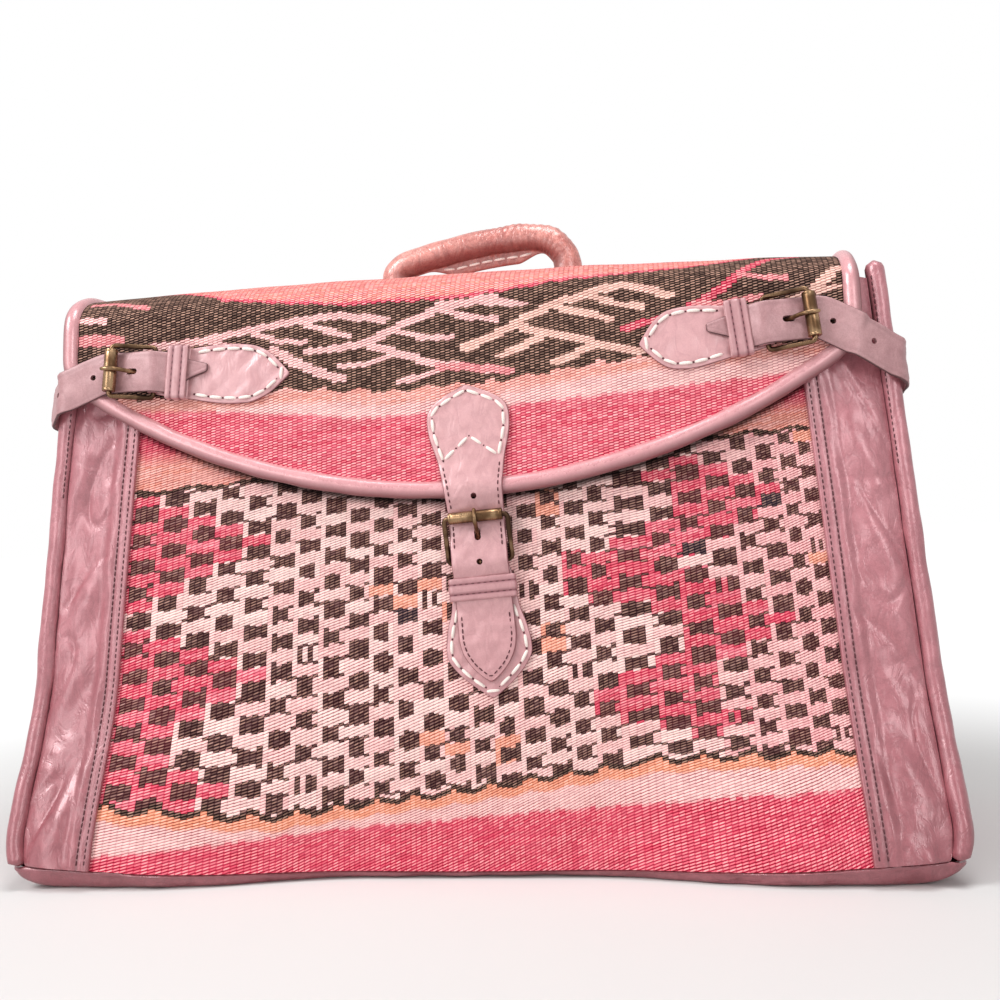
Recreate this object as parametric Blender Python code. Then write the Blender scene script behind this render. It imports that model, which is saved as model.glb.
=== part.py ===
# Kilim and leather travel bag with a buckled flap.
# Metres, +Z up, +X along the width, -Y at the front, origin on the floor under the middle of the base.

from math import cos, pi, radians, sin, sqrt
from types import SimpleNamespace

import bmesh
import bpy
import numpy as np
from mathutils import Matrix, Vector

GAP = 0.0003  # clearance between pieces that touch or are sewn together

# Body
BASE_HALF_WIDTH = 0.279
TOP_HALF_WIDTH = 0.2525
BASE_HALF_DEPTH = 0.103
TOP_HALF_DEPTH = 0.0637
BACK_TOP_HALF_DEPTH = 0.058
BODY_HEIGHT = 0.345
BELLY = 0.008  # how far the middle of the front and back swells
CORNER_SWELL = 0.024  # how far the lower front corners push forward
SWELL_START = 0.06
SWELL_FULL = 0.20
SWELL_HEIGHT = 0.12
PANEL_TOP = 0.340
BACK_TRIM_TOP = 0.320  # top of the back strips and back edge rolls

# Kilim cloth and its pattern
CLOTH = 0.0035
CHECK_RAISE = 0.0007
CHECK_INSET = 0.0013
CHECK_COLUMNS = 24
CHECK_ROWS = 18
FIELD_BOTTOM = 0.062
FIELD_TOP = 0.242
EDGE_LINE = 0.006  # the dark line and the orange line under the check field
PALE_BAND = 0.013
WEAVE_TILT = 0.08  # rise of the weft lines for each metre to the right, at the floor
WEAVE_TILT_FADE = 0.17
PINK_DIAMONDS = (
    (-0.222, 0.82, 0.085, 0.22), (-0.222, 0.30, 0.080, 0.30), (0.115, 0.45, 0.085, 0.55),
)  # x, share of the field's height, half width, half share of the height

# Leather
LEATHER = 0.0020
STRIP_WIDTH = 0.048  # kilim edge to the outside of the edge roll
HEM = 0.008
STRIP_PUFF = 0.0025
STRIP_BASE = 0.0005
ROLL_RADIUS = 0.0055
ROLL_SEAT = 0.001
LEFT_ROLL_TOP = 0.330
RIGHT_ROLL_TOP = 0.348
ROLL_BOTTOM = 0.020
GUSSET_TOP = 0.335
GUSSET_PUFF = 0.008
GUSSET_TUCK = 0.022
LOW_ROUND = 0.014  # how far the low corners round in, at the floor
LOW_ROUND_HEIGHT = 0.035
LEVELS = (0.020, 0.035, 0.051, 0.068, 0.086, 0.105, 0.125, 0.165, 0.205, 0.245, 0.280, 0.315)

# Base
SEAM_MIDDLE = 0.004
SEAM_RISE = 0.011
FOOT_INSET = 0.007
END_INSET = 0.030  # how far the ends of the base curve up from the floor
BASE_CORNER = 0.009

# Flap: its outline is the centre line of the binding
FLAP_MARGIN = 0.0142  # how far its sides stand in from the top corners of the bag
FLAP_HALF_WIDTH = TOP_HALF_WIDTH - FLAP_MARGIN
FLAP_SHIFT = -0.0072
FLAP_ARC = 0.40
FLAP_LOWEST = 0.2245
FLAP_CORNER = 0.025
FLAP_COLUMNS = 24
BINDING_RADIUS = 0.0050
TOP_HEIGHT = 0.3615
TOP_CROWN = 0.005
TOP_HALF = 0.036  # half depth of the flat middle of the top
FALL_START = 0.335
BACK_SEAM_BOTTOM = 0.3255
BACK_SEAM_TOP = 0.343

# Buckles
WIRE = 0.0015
BUCKLE_LENGTH = 0.026
BUCKLE_CORNER = 0.0025
HEEL_HEIGHT = 0.0041
ROLLER_BORE = 0.0020
PRONG_RADIUS = 0.0013
EYE_RADIUS = 0.0009
RUNNING_GAP = 0.0004
EYE_GAP = 0.00035

# Straps, tabs and keepers
STRAP = 0.0025
TAB = 0.0018
KEEPER = 0.0012
KEEPER_LENGTH = 0.013
KEEPER_SLACK = 0.0010
KEEPER_START = 0.0088
HOLE_RADIUS = 0.0018
PRONG_HOLE = 0.0036  # half length of the long hole that the prong stands in
PRONG_SIDE_GAP = 0.0006  # between the prong and the sides of its hole or slot
FRAME_SIDE_GAP = 0.0017  # between a strap's edge and the buckle frame
STRAP_FLAT = 0.0025  # half length of the strap's flat stretch under a roller

# Side fastenings
LEFT_HEEL_INSET = 0.0575  # heel bar to the side edge of the flap
RIGHT_HEEL_INSET = 0.0511
LEFT_HEEL = (FLAP_SHIFT - FLAP_HALF_WIDTH + LEFT_HEEL_INSET, 0.3025, -3.0)  # x, z, turn in degrees
RIGHT_HEEL = (FLAP_SHIFT + FLAP_HALF_WIDTH - RIGHT_HEEL_INSET, 0.3115, -6.0)
SIDE_STRAP_HALF = 0.01275
SIDE_ROLLER_RADIUS = 0.0040
SIDE_EMERGE = 0.0135  # heel bar to the hole that the prong stands in
SIDE_KEEPER_HALF = 0.0155
SIDE_TAB = (
    (0.082, 0.0008), (0.078, 0.0045), (0.072, 0.0100), (0.066, 0.0145), (0.060, 0.0175),
    (0.052, 0.0188), (0.040, 0.0185), (0.030, 0.0170), (0.023, 0.0158), (0.0095, 0.0145),
)  # distance from the heel bar, half width
SIDE_TIP = ((0.033, 0.0030), (0.0295, 0.0080), (0.0245, SIDE_STRAP_HALF))
STRAP_CORNER_Z = 0.287
STRAP_BACK_Z = 0.268
FRONT_BEND = (4, 8)  # stations over the flap's binding, and up to the end of the bend round the front roll
BACK_BEND = 5
FRONT_SLACK = 0.0020  # how far the strap stands off the front roll
STRAP_END = 0.030  # how far the sewn end reaches in from the back edge roll
SIDE_HOLE_PITCH = 0.026
SIDE_HOLES = 2

# Centre fastening
CENTRE_HEEL = (0.0105, 0.182, -3.8)
CENTRE_STRAP_HALF = 0.0155
CENTRE_ROLLER_RADIUS = 0.0035
CENTRE_EMERGE = 0.0160
CENTRE_UNDER = 0.0050
CENTRE_KEEPER_HALF = 0.0186
CENTRE_TAB = (
    (0.0780, 0.0008), (0.0745, 0.0060), (0.0690, 0.0125), (0.0620, 0.0190), (0.0540, 0.0240),
    (0.0460, 0.0243), (0.0360, 0.0225), (0.0290, 0.0205), (0.0230, 0.0195), (0.0095, 0.0180),
)
CENTRE_TIP = (
    (0.0690, 0.0008), (0.0660, 0.0052), (0.0600, 0.0108), (0.0520, 0.0150), (0.0440, 0.0165), (0.0300, 0.0160),
)
CENTRE_HEAD = (
    (0.0580, 0.0165), (0.0700, 0.0205), (0.0820, 0.0248), (0.0900, 0.0250), (0.0970, 0.0190), (0.1020, 0.0090),
    (0.1035, 0.0030),
)  # the sewn end on the flap
CENTRE_HOLES = (-0.0005, 0.0375)  # from the heel bar: one towards the tip, one above the roller

# Handle
HANDLE_RADIUS = 0.009
HANDLE_FLANGE = 0.008
FLANGE_START = 0.20  # share of the handle's length that is left plain at each foot
FLANGE_FULL = 0.36
PATCH = 0.0020
PATCH_HALF = (0.016, 0.018)
FLANGE_HALF = 0.0012
HANDLE_PATH = (
    (-0.0530, 0.0), (-0.0530, 0.0010), (-0.0530, 0.0025), (-0.0522, 0.0066), (-0.0498, 0.0102), (-0.0455, 0.0128),
    (-0.0340, 0.0162), (-0.0140, 0.0207), (0.0100, 0.0247), (0.0340, 0.0265), (0.0510, 0.0235), (0.0600, 0.0150),
    (0.0624, 0.0085), (0.0625, 0.0035), (0.0625, 0.0015), (0.0625, 0.0),
)  # x, height over the patches


def clear_scene():
    for old in list(bpy.data.objects):
        bpy.data.objects.remove(old)


def material(name, rgb, roughness, metallic=0.0):
    made = bpy.data.materials.new(name)
    made.use_nodes = True
    shader = made.node_tree.nodes["Principled BSDF"]
    shader.inputs["Base Color"].default_value = (*rgb, 1.0)
    shader.inputs["Roughness"].default_value = roughness
    shader.inputs["Metallic"].default_value = metallic
    made.diffuse_color = (*rgb, 1.0)
    return made


def smooth(t):
    t = np.clip(t, 0.0, 1.0)
    return t * t * (3.0 - 2.0 * t)


def straight_half_width(z):
    return BASE_HALF_WIDTH + (TOP_HALF_WIDTH - BASE_HALF_WIDTH) * z / BODY_HEIGHT


def half_width(z):
    return straight_half_width(z) - LOW_ROUND * np.clip(1 - z / LOW_ROUND_HEIGHT, 0, 1) ** 2


def levels(bottom, top):
    """Heights shared by the pieces that meet at the corners, so that their facets run side by side."""
    return np.array([bottom, *(z for z in LEVELS if bottom < z < top), top])


def kilim_half_width(z):
    return straight_half_width(z) - STRIP_WIDTH


def seam_height(x):
    return SEAM_MIDDLE + SEAM_RISE * (x / BASE_HALF_WIDTH) ** 2


def face_y(side, x, z):
    """Depth of the front (side -1) or back (side 1) surface: leaning, swollen in the middle and at the low corners."""
    top = TOP_HALF_DEPTH if side < 0 else BACK_TOP_HALF_DEPTH
    lean = BASE_HALF_DEPTH + (top - BASE_HALF_DEPTH) * z / BODY_HEIGHT
    belly = BELLY * np.cos(pi * x / 2 / BASE_HALF_WIDTH) * np.sin(pi * np.clip(z / BODY_HEIGHT, 0, 1))
    out = smooth((np.abs(x) - SWELL_START) / (SWELL_FULL - SWELL_START)) * smooth(1 - z / SWELL_HEIGHT)
    swell = CORNER_SWELL * out * (1.0 if side < 0 else 0.5)
    return side * (lean + belly + swell)


def skin(side, x, z, n):
    """Points at distance n outside the front or back surface."""
    x, z, n = np.broadcast_arrays(*(np.asarray(value, float) for value in (x, z, n)))
    step = 1e-4
    slope_x = (face_y(side, x + step, z) - face_y(side, x - step, z)) / (2 * step)
    slope_z = (face_y(side, x, z + step) - face_y(side, x, z - step)) / (2 * step)
    normal = np.stack([-side * slope_x, np.full_like(x, side), -side * slope_z], -1)
    normal /= np.linalg.norm(normal, axis=-1, keepdims=True)
    return np.stack([x, face_y(side, x, z), z], -1) + normal * n[..., None]


def make_object(name, mesh_points, faces, materials, slots=None, shade=True):
    """One closed mesh object from points and faces, with its faces turned outwards."""
    mesh = bpy.data.meshes.new(name)
    mesh.from_pydata([tuple(point) for point in mesh_points], [], faces)
    for one in materials:
        mesh.materials.append(one)
    if slots is not None:
        mesh.polygons.foreach_set("material_index", slots)
    work = bmesh.new()
    work.from_mesh(mesh)
    bmesh.ops.recalc_face_normals(work, faces=work.faces)
    work.to_mesh(mesh)
    work.free()
    if shade:
        mesh.shade_smooth()
        mesh.set_sharp_from_angle(angle=radians(40))
    made = bpy.data.objects.new(name, mesh)
    bpy.context.scene.collection.objects.link(made)
    return made


def slab(name, outer, inner, materials, paint=None, rows=None, columns=None):
    """A sheet with thickness, from two grids of points. The inner side may keep only some rows and columns."""
    row_count, column_count = outer.shape[:2]
    size = row_count * column_count
    rows = rows or list(range(row_count))
    columns = columns or list(range(column_count))
    points = np.concatenate([outer.reshape(-1, 3), inner.reshape(-1, 3)])
    faces = []
    slots = []
    for r in range(row_count - 1):
        for c in range(column_count - 1):
            corner = r * column_count + c
            faces.append((corner, corner + 1, corner + column_count + 1, corner + column_count))
            slots.append(paint(r, c) if paint else 0)
    for low, high in zip(rows, rows[1:]):
        for left, right in zip(columns, columns[1:]):
            bottom = range(left, right + 1) if low == 0 else (left, right)
            top = range(right, left - 1, -1) if high == row_count - 1 else (right, left)
            up = range(low + 1, high) if right == column_count - 1 else ()
            down = range(high - 1, low, -1) if left == 0 else ()
            ring = [(low, c) for c in bottom] + [(r, right) for r in up]
            ring += [(high, c) for c in top] + [(r, left) for r in down]
            faces.append(tuple(size + r * column_count + c for r, c in reversed(ring)))
            slots.append(0)
    edge = [c for c in range(column_count)]
    edge += [r * column_count + column_count - 1 for r in range(1, row_count)]
    edge += [size - 1 - c for c in range(1, column_count)]
    edge += [r * column_count for r in range(row_count - 2, 0, -1)]
    for a, b in zip(edge, edge[1:] + edge[:1]):
        faces.append((b, a, a + size, b + size))
        slots.append(0)
    used = sorted({index for face in faces for index in face})
    order = {old: new for new, old in enumerate(used)}
    faces = [tuple(order[index] for index in face) for face in faces]
    return make_object(name, points[used], faces, materials, slots)


def tangents(path, closed=False):
    if closed:
        along = np.roll(path, -1, 0) - np.roll(path, 1, 0)
    else:
        along = np.gradient(path, axis=0)
    return along / np.linalg.norm(along, axis=1, keepdims=True)


def sweep(name, path, normals, profiles, materials, closed=False):
    """Carries a closed profile of (across, out) pairs along a path. out follows the normals."""
    path = np.asarray(path, float)
    along = tangents(path, closed)
    normals = normals - along * np.sum(normals * along, 1, keepdims=True)
    normals = normals / np.linalg.norm(normals, axis=1, keepdims=True)
    across = np.cross(normals, along)
    profiles = np.broadcast_to(profiles, (len(path), *np.shape(profiles)[-2:]))
    rings = (
        path[:, None]
        + across[:, None] * profiles[..., :1]
        + normals[:, None] * profiles[..., 1:]
    )
    count = rings.shape[1]
    faces = []
    for r in range(len(path) if closed else len(path) - 1):
        for k in range(count):
            here = r * count
            there = (r + 1) % len(path) * count
            faces.append((here + k, here + (k + 1) % count, there + (k + 1) % count, there + k))
    if not closed:
        faces.append(tuple(range(count - 1, -1, -1)))
        faces.append(tuple((len(path) - 1) * count + k for k in range(count)))
    return make_object(name, rings.reshape(-1, 3), faces, materials)


def circle(radius, sides, turn=0.5):
    angles = (np.arange(sides) + turn) * 2 * pi / sides
    return np.stack([np.cos(angles), np.sin(angles)], -1) * radius


def drill(target, name, seat, centre, half_length, depth, half_width=None):
    """Cuts a round-ended hole through target, square to the seat and long along its strap."""
    half_width = half_width or PRONG_RADIUS + PRONG_SIDE_GAP
    angles = np.arange(8) * pi / 4 + pi / 8
    stretch = (half_length - half_width) * np.sign(np.cos(angles))
    u = half_width * np.cos(angles) + stretch
    w = half_width * np.sin(angles)
    ring = centre + u[:, None] * seat.along + w[:, None] * seat.across
    points = np.concatenate([ring - seat.out * depth, ring + seat.out * depth])
    faces = [tuple(range(7, -1, -1)), tuple(range(8, 16))]
    faces += [(k, (k + 1) % 8, (k + 1) % 8 + 8, k + 8) for k in range(8)]
    cutter = make_object(name, points, faces, [], shade=False)
    cutter.hide_render = True
    cutter.display_type = "WIRE"
    cut = target.modifiers.new(name, "BOOLEAN")
    cut.operation = "DIFFERENCE"
    cut.object = cutter


def edge_x(z):
    """Where the middle of an edge roll stands."""
    return half_width(z) - ROLL_RADIUS


def roll_centre(side, hand, z):
    """Centre of the front (side -1) or back edge roll, at the left (hand -1) or right."""
    return skin(side, hand * edge_x(z), z, ROLL_SEAT)


def gusset_x(t, z):
    puff = GUSSET_PUFF - (GUSSET_PUFF + GUSSET_TUCK) * smooth((z - 0.08) / 0.22)
    return edge_x(z) + puff * np.sin(pi * t)


def front_kilim_panel(paints):
    """The woven front: checks in half-drop columns over striped bands, the dark checks standing proud."""
    rows = [0.0, FIELD_BOTTOM - 2 * EDGE_LINE - PALE_BAND, FIELD_BOTTOM - 2 * EDGE_LINE]
    rows += [FIELD_BOTTOM - EDGE_LINE]
    rows += list(np.linspace(FIELD_BOTTOM, FIELD_TOP, CHECK_ROWS + 1))
    rows += [(FIELD_TOP + PANEL_TOP) / 2, PANEL_TOP]
    first_check = 4
    last_check = first_check + CHECK_ROWS
    share = np.linspace(-1, 1, CHECK_COLUMNS + 1)
    height = np.array(rows)[:, None] * np.ones(len(share))
    x = share * kilim_half_width(height)
    height = height + (WEAVE_TILT - WEAVE_TILT_FADE * height) * x
    height[0] = seam_height(x[0]) + GAP
    height[-1] = PANEL_TOP
    x = share * kilim_half_width(height)

    def paint(r, c):
        middle_x = share[c] * TOP_HALF_WIDTH
        if r < 1:
            return 1
        if r < 2:
            return 3
        if r < 3:
            return 4
        if r < first_check:
            return 2
        if r >= last_check:
            return 4 if r == last_check else 1
        if (r + c) % 2:
            return 2
        level = (r - first_check) / CHECK_ROWS
        pink = any(abs(middle_x - x) / a + abs(level - z) / b < 1 for x, z, a, b in PINK_DIAMONDS)
        return 1 if pink else 3

    panel = slab(
        "front_kilim_panel",
        skin(-1, x, height, CLOTH),
        skin(-1, x, height, 0.0),
        paints,
        paint,
        rows=[0, 3, 7, 12, 17, last_check, len(rows) - 1],
        columns=list(range(0, CHECK_COLUMNS + 1, 3)),
    )
    work = bmesh.new()
    work.from_mesh(panel.data)
    work.faces.ensure_lookup_table()
    checks = [face for face in work.faces[: (len(rows) - 1) * CHECK_COLUMNS] if face.material_index == 2]
    checks = [face for face in checks if face.index // CHECK_COLUMNS >= first_check]
    bmesh.ops.inset_individual(work, faces=checks, thickness=CHECK_INSET, depth=CHECK_RAISE)
    work.to_mesh(panel.data)
    work.free()


def back_kilim_panel(paints):
    """The plain striped back."""
    rows = np.array([0.0, 0.037, 0.062, 0.11, 0.16, 0.21, FIELD_TOP, 0.29, PANEL_TOP])
    share = np.linspace(-1, 1, 11)
    height = rows[:, None] * np.ones(len(share))
    x = share * kilim_half_width(height)
    height[0] = seam_height(x[0]) + GAP
    x = share * kilim_half_width(height)
    stripes = (1, 3, 2, 3, 4, 3, 2, 1)
    slab(
        "back_kilim_panel",
        skin(1, x, height, CLOTH),
        skin(1, x, height, 0.0),
        paints,
        lambda r, c: stripes[r],
    )


def leather_strip(name, side, hand, top, leather):
    """A creased leather border: its hem lies over the kilim's edge and its outer edge meets the edge roll."""
    hem_low = CLOTH + CHECK_RAISE + GAP
    bottom = seam_height(edge_x(0)) + GAP
    z = levels(bottom, top)[:, None]
    slack = np.linspace(0, 1, 4)
    kilim = kilim_half_width(z)
    outer = half_width(z) - 2 * ROLL_RADIUS - GAP
    from_edge = kilim + HEM / 2
    x = np.concatenate([kilim - HEM, kilim + LEATHER / 4, from_edge + (outer - from_edge) * slack], -1)
    z = z * np.ones_like(x)
    z[0] = seam_height(x[0]) + GAP
    puff = STRIP_PUFF * np.sin(pi * slack)
    low = np.broadcast_to(np.concatenate([[hem_low, hem_low], STRIP_BASE + puff]), x.shape)
    slab(name, skin(side, hand * x, z, low + LEATHER), skin(side, hand * x, z, low), [leather])


def edge_roll(name, side, hand, top, leather):
    """The piped corner seam, a roll of leather that stops short above the floor."""
    path = roll_centre(side, hand, levels(ROLL_BOTTOM, top))
    sweep(name, path, np.tile([0.0, side, 0.0], (len(path), 1)), circle(ROLL_RADIUS, 8), [leather])


def gusset(name, hand, leather):
    """A side panel, full at the floor and tucked in at the top."""
    z = levels(seam_height(edge_x(0)) + GAP, GUSSET_TOP)[:, None]
    t = np.linspace(0, 1, 7)[None, :]
    front = roll_centre(-1, hand, z)[..., 1] + ROLL_RADIUS + GAP
    back = roll_centre(1, hand, z)[..., 1] - ROLL_RADIUS - GAP
    y = front + (back - front) * t
    x = hand * gusset_x(t, z)
    z = z + 0 * t
    outer = np.stack([x + hand * LEATHER / 2, y, z], -1)
    inner = np.stack([x - hand * LEATHER / 2, y, z], -1)
    slab(name, outer, inner, [leather])


def base_outline():
    """The seam line round the base: front, side, back, side, with round corners."""
    ring = []
    end_height = seam_height(edge_x(0))
    corner_x = edge_x(end_height) + ROLL_RADIUS - BASE_CORNER
    corner_y = {side: skin(side, corner_x, end_height, LEATHER - BASE_CORNER)[1] for side in (-1, 1)}
    turns = np.array([0.25, 0.5, 0.75]) * pi / 2
    for side, hand in ((-1, 1), (1, -1)):
        for a in np.linspace(-corner_x, corner_x, 17) * hand:
            ring.append((a, skin(side, a, seam_height(a), LEATHER)[1], seam_height(a)))
        corner = [(hand * (corner_x + BASE_CORNER * sin(a)), BASE_CORNER * cos(a), end_height) for a in turns]
        ring += [(x, corner_y[side] + side * y, z) for x, y, z in corner]
        for t in np.linspace(0, 1, 6):
            bulge = t if side < 0 else 1 - t
            across = hand * (gusset_x(bulge, end_height) + LEATHER / 2)
            ring.append((across, corner_y[side] + (corner_y[-side] - corner_y[side]) * t, end_height))
        ring += [(x, corner_y[-side] - side * y, z) for x, y, z in reversed(corner)]
    return np.array(ring)


def base_panel(leather):
    """A shallow leather tray: flat underneath, turned up all round, its ends curving well up from the floor."""
    seam = base_outline()

    def ring(angle, thickness):
        """The seam line pulled in and down, a quarter turn from the seam (0) to the floor."""
        pull = 1 - cos(angle)
        across = seam[:, 0] * (1 - (END_INSET * pull + thickness * cos(angle)) / BASE_HALF_WIDTH)
        deep = seam[:, 1] * (1 - (FOOT_INSET * pull + thickness * cos(angle)) / BASE_HALF_DEPTH)
        return np.column_stack([across, deep, seam[:, 2] * (1 - sin(angle)) + thickness * sin(angle)])

    turn = np.radians([90, 60, 30, 0])
    rings = [ring(angle, 0.0) for angle in turn] + [ring(angle, LEATHER) for angle in turn[::-1]]
    count = len(seam)
    faces = [tuple(range(count)), tuple((len(rings) - 1) * count + k for k in range(count))]
    for r in range(len(rings) - 1):
        for k in range(count):
            nxt = (k + 1) % count
            faces.append((r * count + k, r * count + nxt, (r + 1) * count + nxt, (r + 1) * count + k))
    make_object("base_panel", np.concatenate(rings), faces, [leather])


def flap_level(x):
    """Height of the flap's middle over the front surface: its binding rests on the kilim, or on the strips' hems."""
    on_kilim = CLOTH + CHECK_RAISE + GAP + BINDING_RADIUS
    on_hem = on_kilim + LEATHER + GAP
    return on_kilim + (on_hem - on_kilim) * smooth((np.abs(x) - 0.03) / 0.07)


def top_height(x):
    return TOP_HEIGHT - TOP_CROWN * (x / TOP_HALF_WIDTH) ** 2


def flap_lower_edge(x, inset):
    """Height of the flap's curved lower edge, inset from the binding's centre line."""
    away = np.minimum(np.abs(x - FLAP_SHIFT), FLAP_HALF_WIDTH - inset)
    centre_z = FLAP_LOWEST + FLAP_ARC
    reach = FLAP_HALF_WIDTH - FLAP_CORNER
    corner_z = centre_z - sqrt((FLAP_ARC - FLAP_CORNER) ** 2 - reach**2)
    turn = reach / (FLAP_ARC - FLAP_CORNER) * (FLAP_ARC - inset)
    arc = centre_z - np.sqrt((FLAP_ARC - inset) ** 2 - np.minimum(away, turn) ** 2)
    round_part = (FLAP_CORNER - inset) ** 2 - np.clip(away - reach, 0, None) ** 2
    corner = corner_z - np.sqrt(np.clip(round_part, 0, None))
    return np.where(away <= turn, arc, corner)


def flap_section(x, bottom):
    """The flap's middle line at x, from its seam on the back, over the top, down the front to bottom."""
    back_y = skin(1, x, BACK_SEAM_TOP, CLOTH * 1.5 + GAP)[1]
    front_top = skin(-1, x, FALL_START, flap_level(x))[1]
    top = top_height(x)
    line = [skin(1, x, BACK_SEAM_BOTTOM, CLOTH * 1.5 + GAP)[1:]]
    for angle in np.linspace(0, pi / 2, 4):
        line.append((TOP_HALF + (back_y - TOP_HALF) * cos(angle), BACK_SEAM_TOP + (top - BACK_SEAM_TOP) * sin(angle)))
    for y in np.linspace(TOP_HALF, -TOP_HALF, 4)[1:-1]:
        line.append((y, top))
    for angle in np.linspace(pi / 2, 0, 5):
        line.append((-TOP_HALF + (front_top + TOP_HALF) * cos(angle), FALL_START + (top - FALL_START) * sin(angle)))
    for z in np.linspace(FALL_START, bottom, 10)[1:]:
        line.append(tuple(skin(-1, x, z, flap_level(x))[1:]))
    return np.array([(x, y, z) for y, z in line])


def flap_columns(count):
    """Places across the flap, closer together towards its round corners."""
    reach = FLAP_HALF_WIDTH - BINDING_RADIUS - GAP
    return FLAP_SHIFT + reach * np.sin(np.linspace(-1, 1, count + 1) * pi / 2)


def flap_kilim(paints):
    """The kilim flap: sewn to the back, crowned over the top, falling to a wide curve at the front."""
    columns = flap_columns(FLAP_COLUMNS)
    inset = BINDING_RADIUS + GAP
    middle = np.stack([flap_section(x, float(flap_lower_edge(x, inset))) for x in columns], 1)
    down = np.gradient(middle, axis=0)
    aside = np.gradient(middle, axis=1)
    out = np.cross(down, aside)
    out /= np.linalg.norm(out, axis=-1, keepdims=True)

    def paint(r, c):
        x, y, z = middle[r : r + 2, c : c + 2].reshape(-1, 3).mean(0)
        if y > -TOP_HALF or z > 0.350:
            return 4
        if z > 0.287:
            return 3 if (r + c // 2) % 3 == 0 and c % 4 < 2 else 2
        return 3 if z > 0.268 else 1

    slab(
        "flap_kilim",
        middle + out * CLOTH / 2,
        middle - out * CLOTH / 2,
        paints,
        paint,
        columns=list(range(0, FLAP_COLUMNS + 1, 4)),
    )


def flap_binding(leather):
    """The rolled leather edge round the two sides and the lower curve of the flap."""
    left = FLAP_SHIFT - FLAP_HALF_WIDTH
    right = FLAP_SHIFT + FLAP_HALF_WIDTH
    start = float(flap_lower_edge(left, 0.0))
    down_left = flap_section(left, start)[:-9]
    up_right = flap_section(right, start)[:-9][::-1]
    lower = []
    reach = FLAP_HALF_WIDTH - FLAP_CORNER
    turn = np.arcsin(reach / (FLAP_ARC - FLAP_CORNER))
    arc_centre = FLAP_LOWEST + FLAP_ARC
    corner_z = arc_centre - sqrt((FLAP_ARC - FLAP_CORNER) ** 2 - reach**2)
    for angle in np.linspace(pi / 2, turn, 5):
        lower.append((-reach - FLAP_CORNER * sin(angle), corner_z - FLAP_CORNER * cos(angle)))
    for angle in np.linspace(turn, -turn, 17)[1:-1]:
        lower.append((-FLAP_ARC * sin(angle), arc_centre - FLAP_ARC * cos(angle)))
    for angle in np.linspace(turn, pi / 2, 5):
        lower.append((reach + FLAP_CORNER * sin(angle), corner_z - FLAP_CORNER * cos(angle)))
    lower = [skin(-1, FLAP_SHIFT + a, z, flap_level(FLAP_SHIFT + a)) for a, z in lower]
    path = np.concatenate([down_left, lower, up_right])
    normals = np.concatenate(
        [
            np.tile([-1.0, 0.0, 0.0], (len(down_left), 1)),
            [(-cos(a), 0.0, -sin(a)) for a in np.linspace(0, pi / 2, 5)],
            np.tile([0.0, 0.0, -1.0], (len(lower) - 10, 1)),
            [(cos(a), 0.0, -sin(a)) for a in np.linspace(pi / 2, 0, 5)],
            np.tile([1.0, 0.0, 0.0], (len(up_right), 1)),
        ]
    )
    sweep("flap_binding", path, normals, circle(BINDING_RADIUS, 8), [leather])


class Seat:
    """A place on the front: u runs along the strap to its tip, w across it, n out of the surface."""

    def __init__(self, place, direction, level):
        self.x, self.z, turn = place
        self.level = level
        angle = radians(turn)
        if direction == "down":
            self.u = np.array([-sin(angle), -cos(angle)])
        else:
            self.u = np.array([direction * cos(angle), sin(angle)])
        self.w = np.array([-self.u[1], self.u[0]])
        step = 1e-3
        self.origin = self.on_skin(0, 0, 0)
        self.along = (self.on_skin(step, 0, 0) - self.origin) / step
        self.along /= np.linalg.norm(self.along)
        self.across = (self.on_skin(0, step, 0) - self.origin) / step
        self.out = np.cross(self.along, self.across)
        self.out /= np.linalg.norm(self.out)
        self.across = np.cross(self.out, self.along)

    def on_skin(self, u, w, n):
        x = self.x + self.u[0] * u + self.w[0] * w
        z = self.z + self.u[1] * u + self.w[1] * w
        return skin(-1, x, z, self.level(x) + n)

    def rigid(self, u, w, n):
        return self.origin + self.along * u + self.across * w + self.out * n


def front_bar_height(roller, strap_under):
    """The front bar stands where its roller just clears the strap, whose underside is at strap_under."""
    return strap_under + STRAP + RUNNING_GAP + roller


def frame_side(strap_half):
    """Half width of a buckle frame, to the middle of its wire."""
    return strap_half + FRAME_SIDE_GAP + WIRE


def buckle_frame(name, seat, strap_half, front_height, brass):
    """A bent wire rectangle: its heel bar at u = 0, its front bar further out and higher."""
    side = frame_side(strap_half)
    rise = front_height - HEEL_HEIGHT
    length = sqrt(BUCKLE_LENGTH**2 + rise**2)
    away = (-BUCKLE_LENGTH / length, rise / length)
    path = []
    for far, edge, first in ((0, -1, pi), (1, -1, 1.5 * pi), (1, 1, 0.0), (0, 1, 0.5 * pi)):
        centre = BUCKLE_CORNER + far * (length - 2 * BUCKLE_CORNER)
        for angle in np.linspace(first, first + pi / 2, 4):
            a = centre + BUCKLE_CORNER * cos(angle)
            w = edge * (side - BUCKLE_CORNER) + BUCKLE_CORNER * sin(angle)
            path.append(seat.rigid(away[0] * a, w, HEEL_HEIGHT + away[1] * a))
    plane = seat.along * away[0] + seat.out * away[1]
    normals = np.tile(np.cross(plane, seat.across), (len(path), 1))
    sweep(name, path, normals, circle(WIRE, 8), [brass], closed=True)


def set_origin(made, origin):
    """Moves an object's origin onto its joint axis; its shape stays where it is."""
    made.data.transform(Matrix.Translation(-Vector(origin)))
    made.location = Vector(origin)


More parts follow.
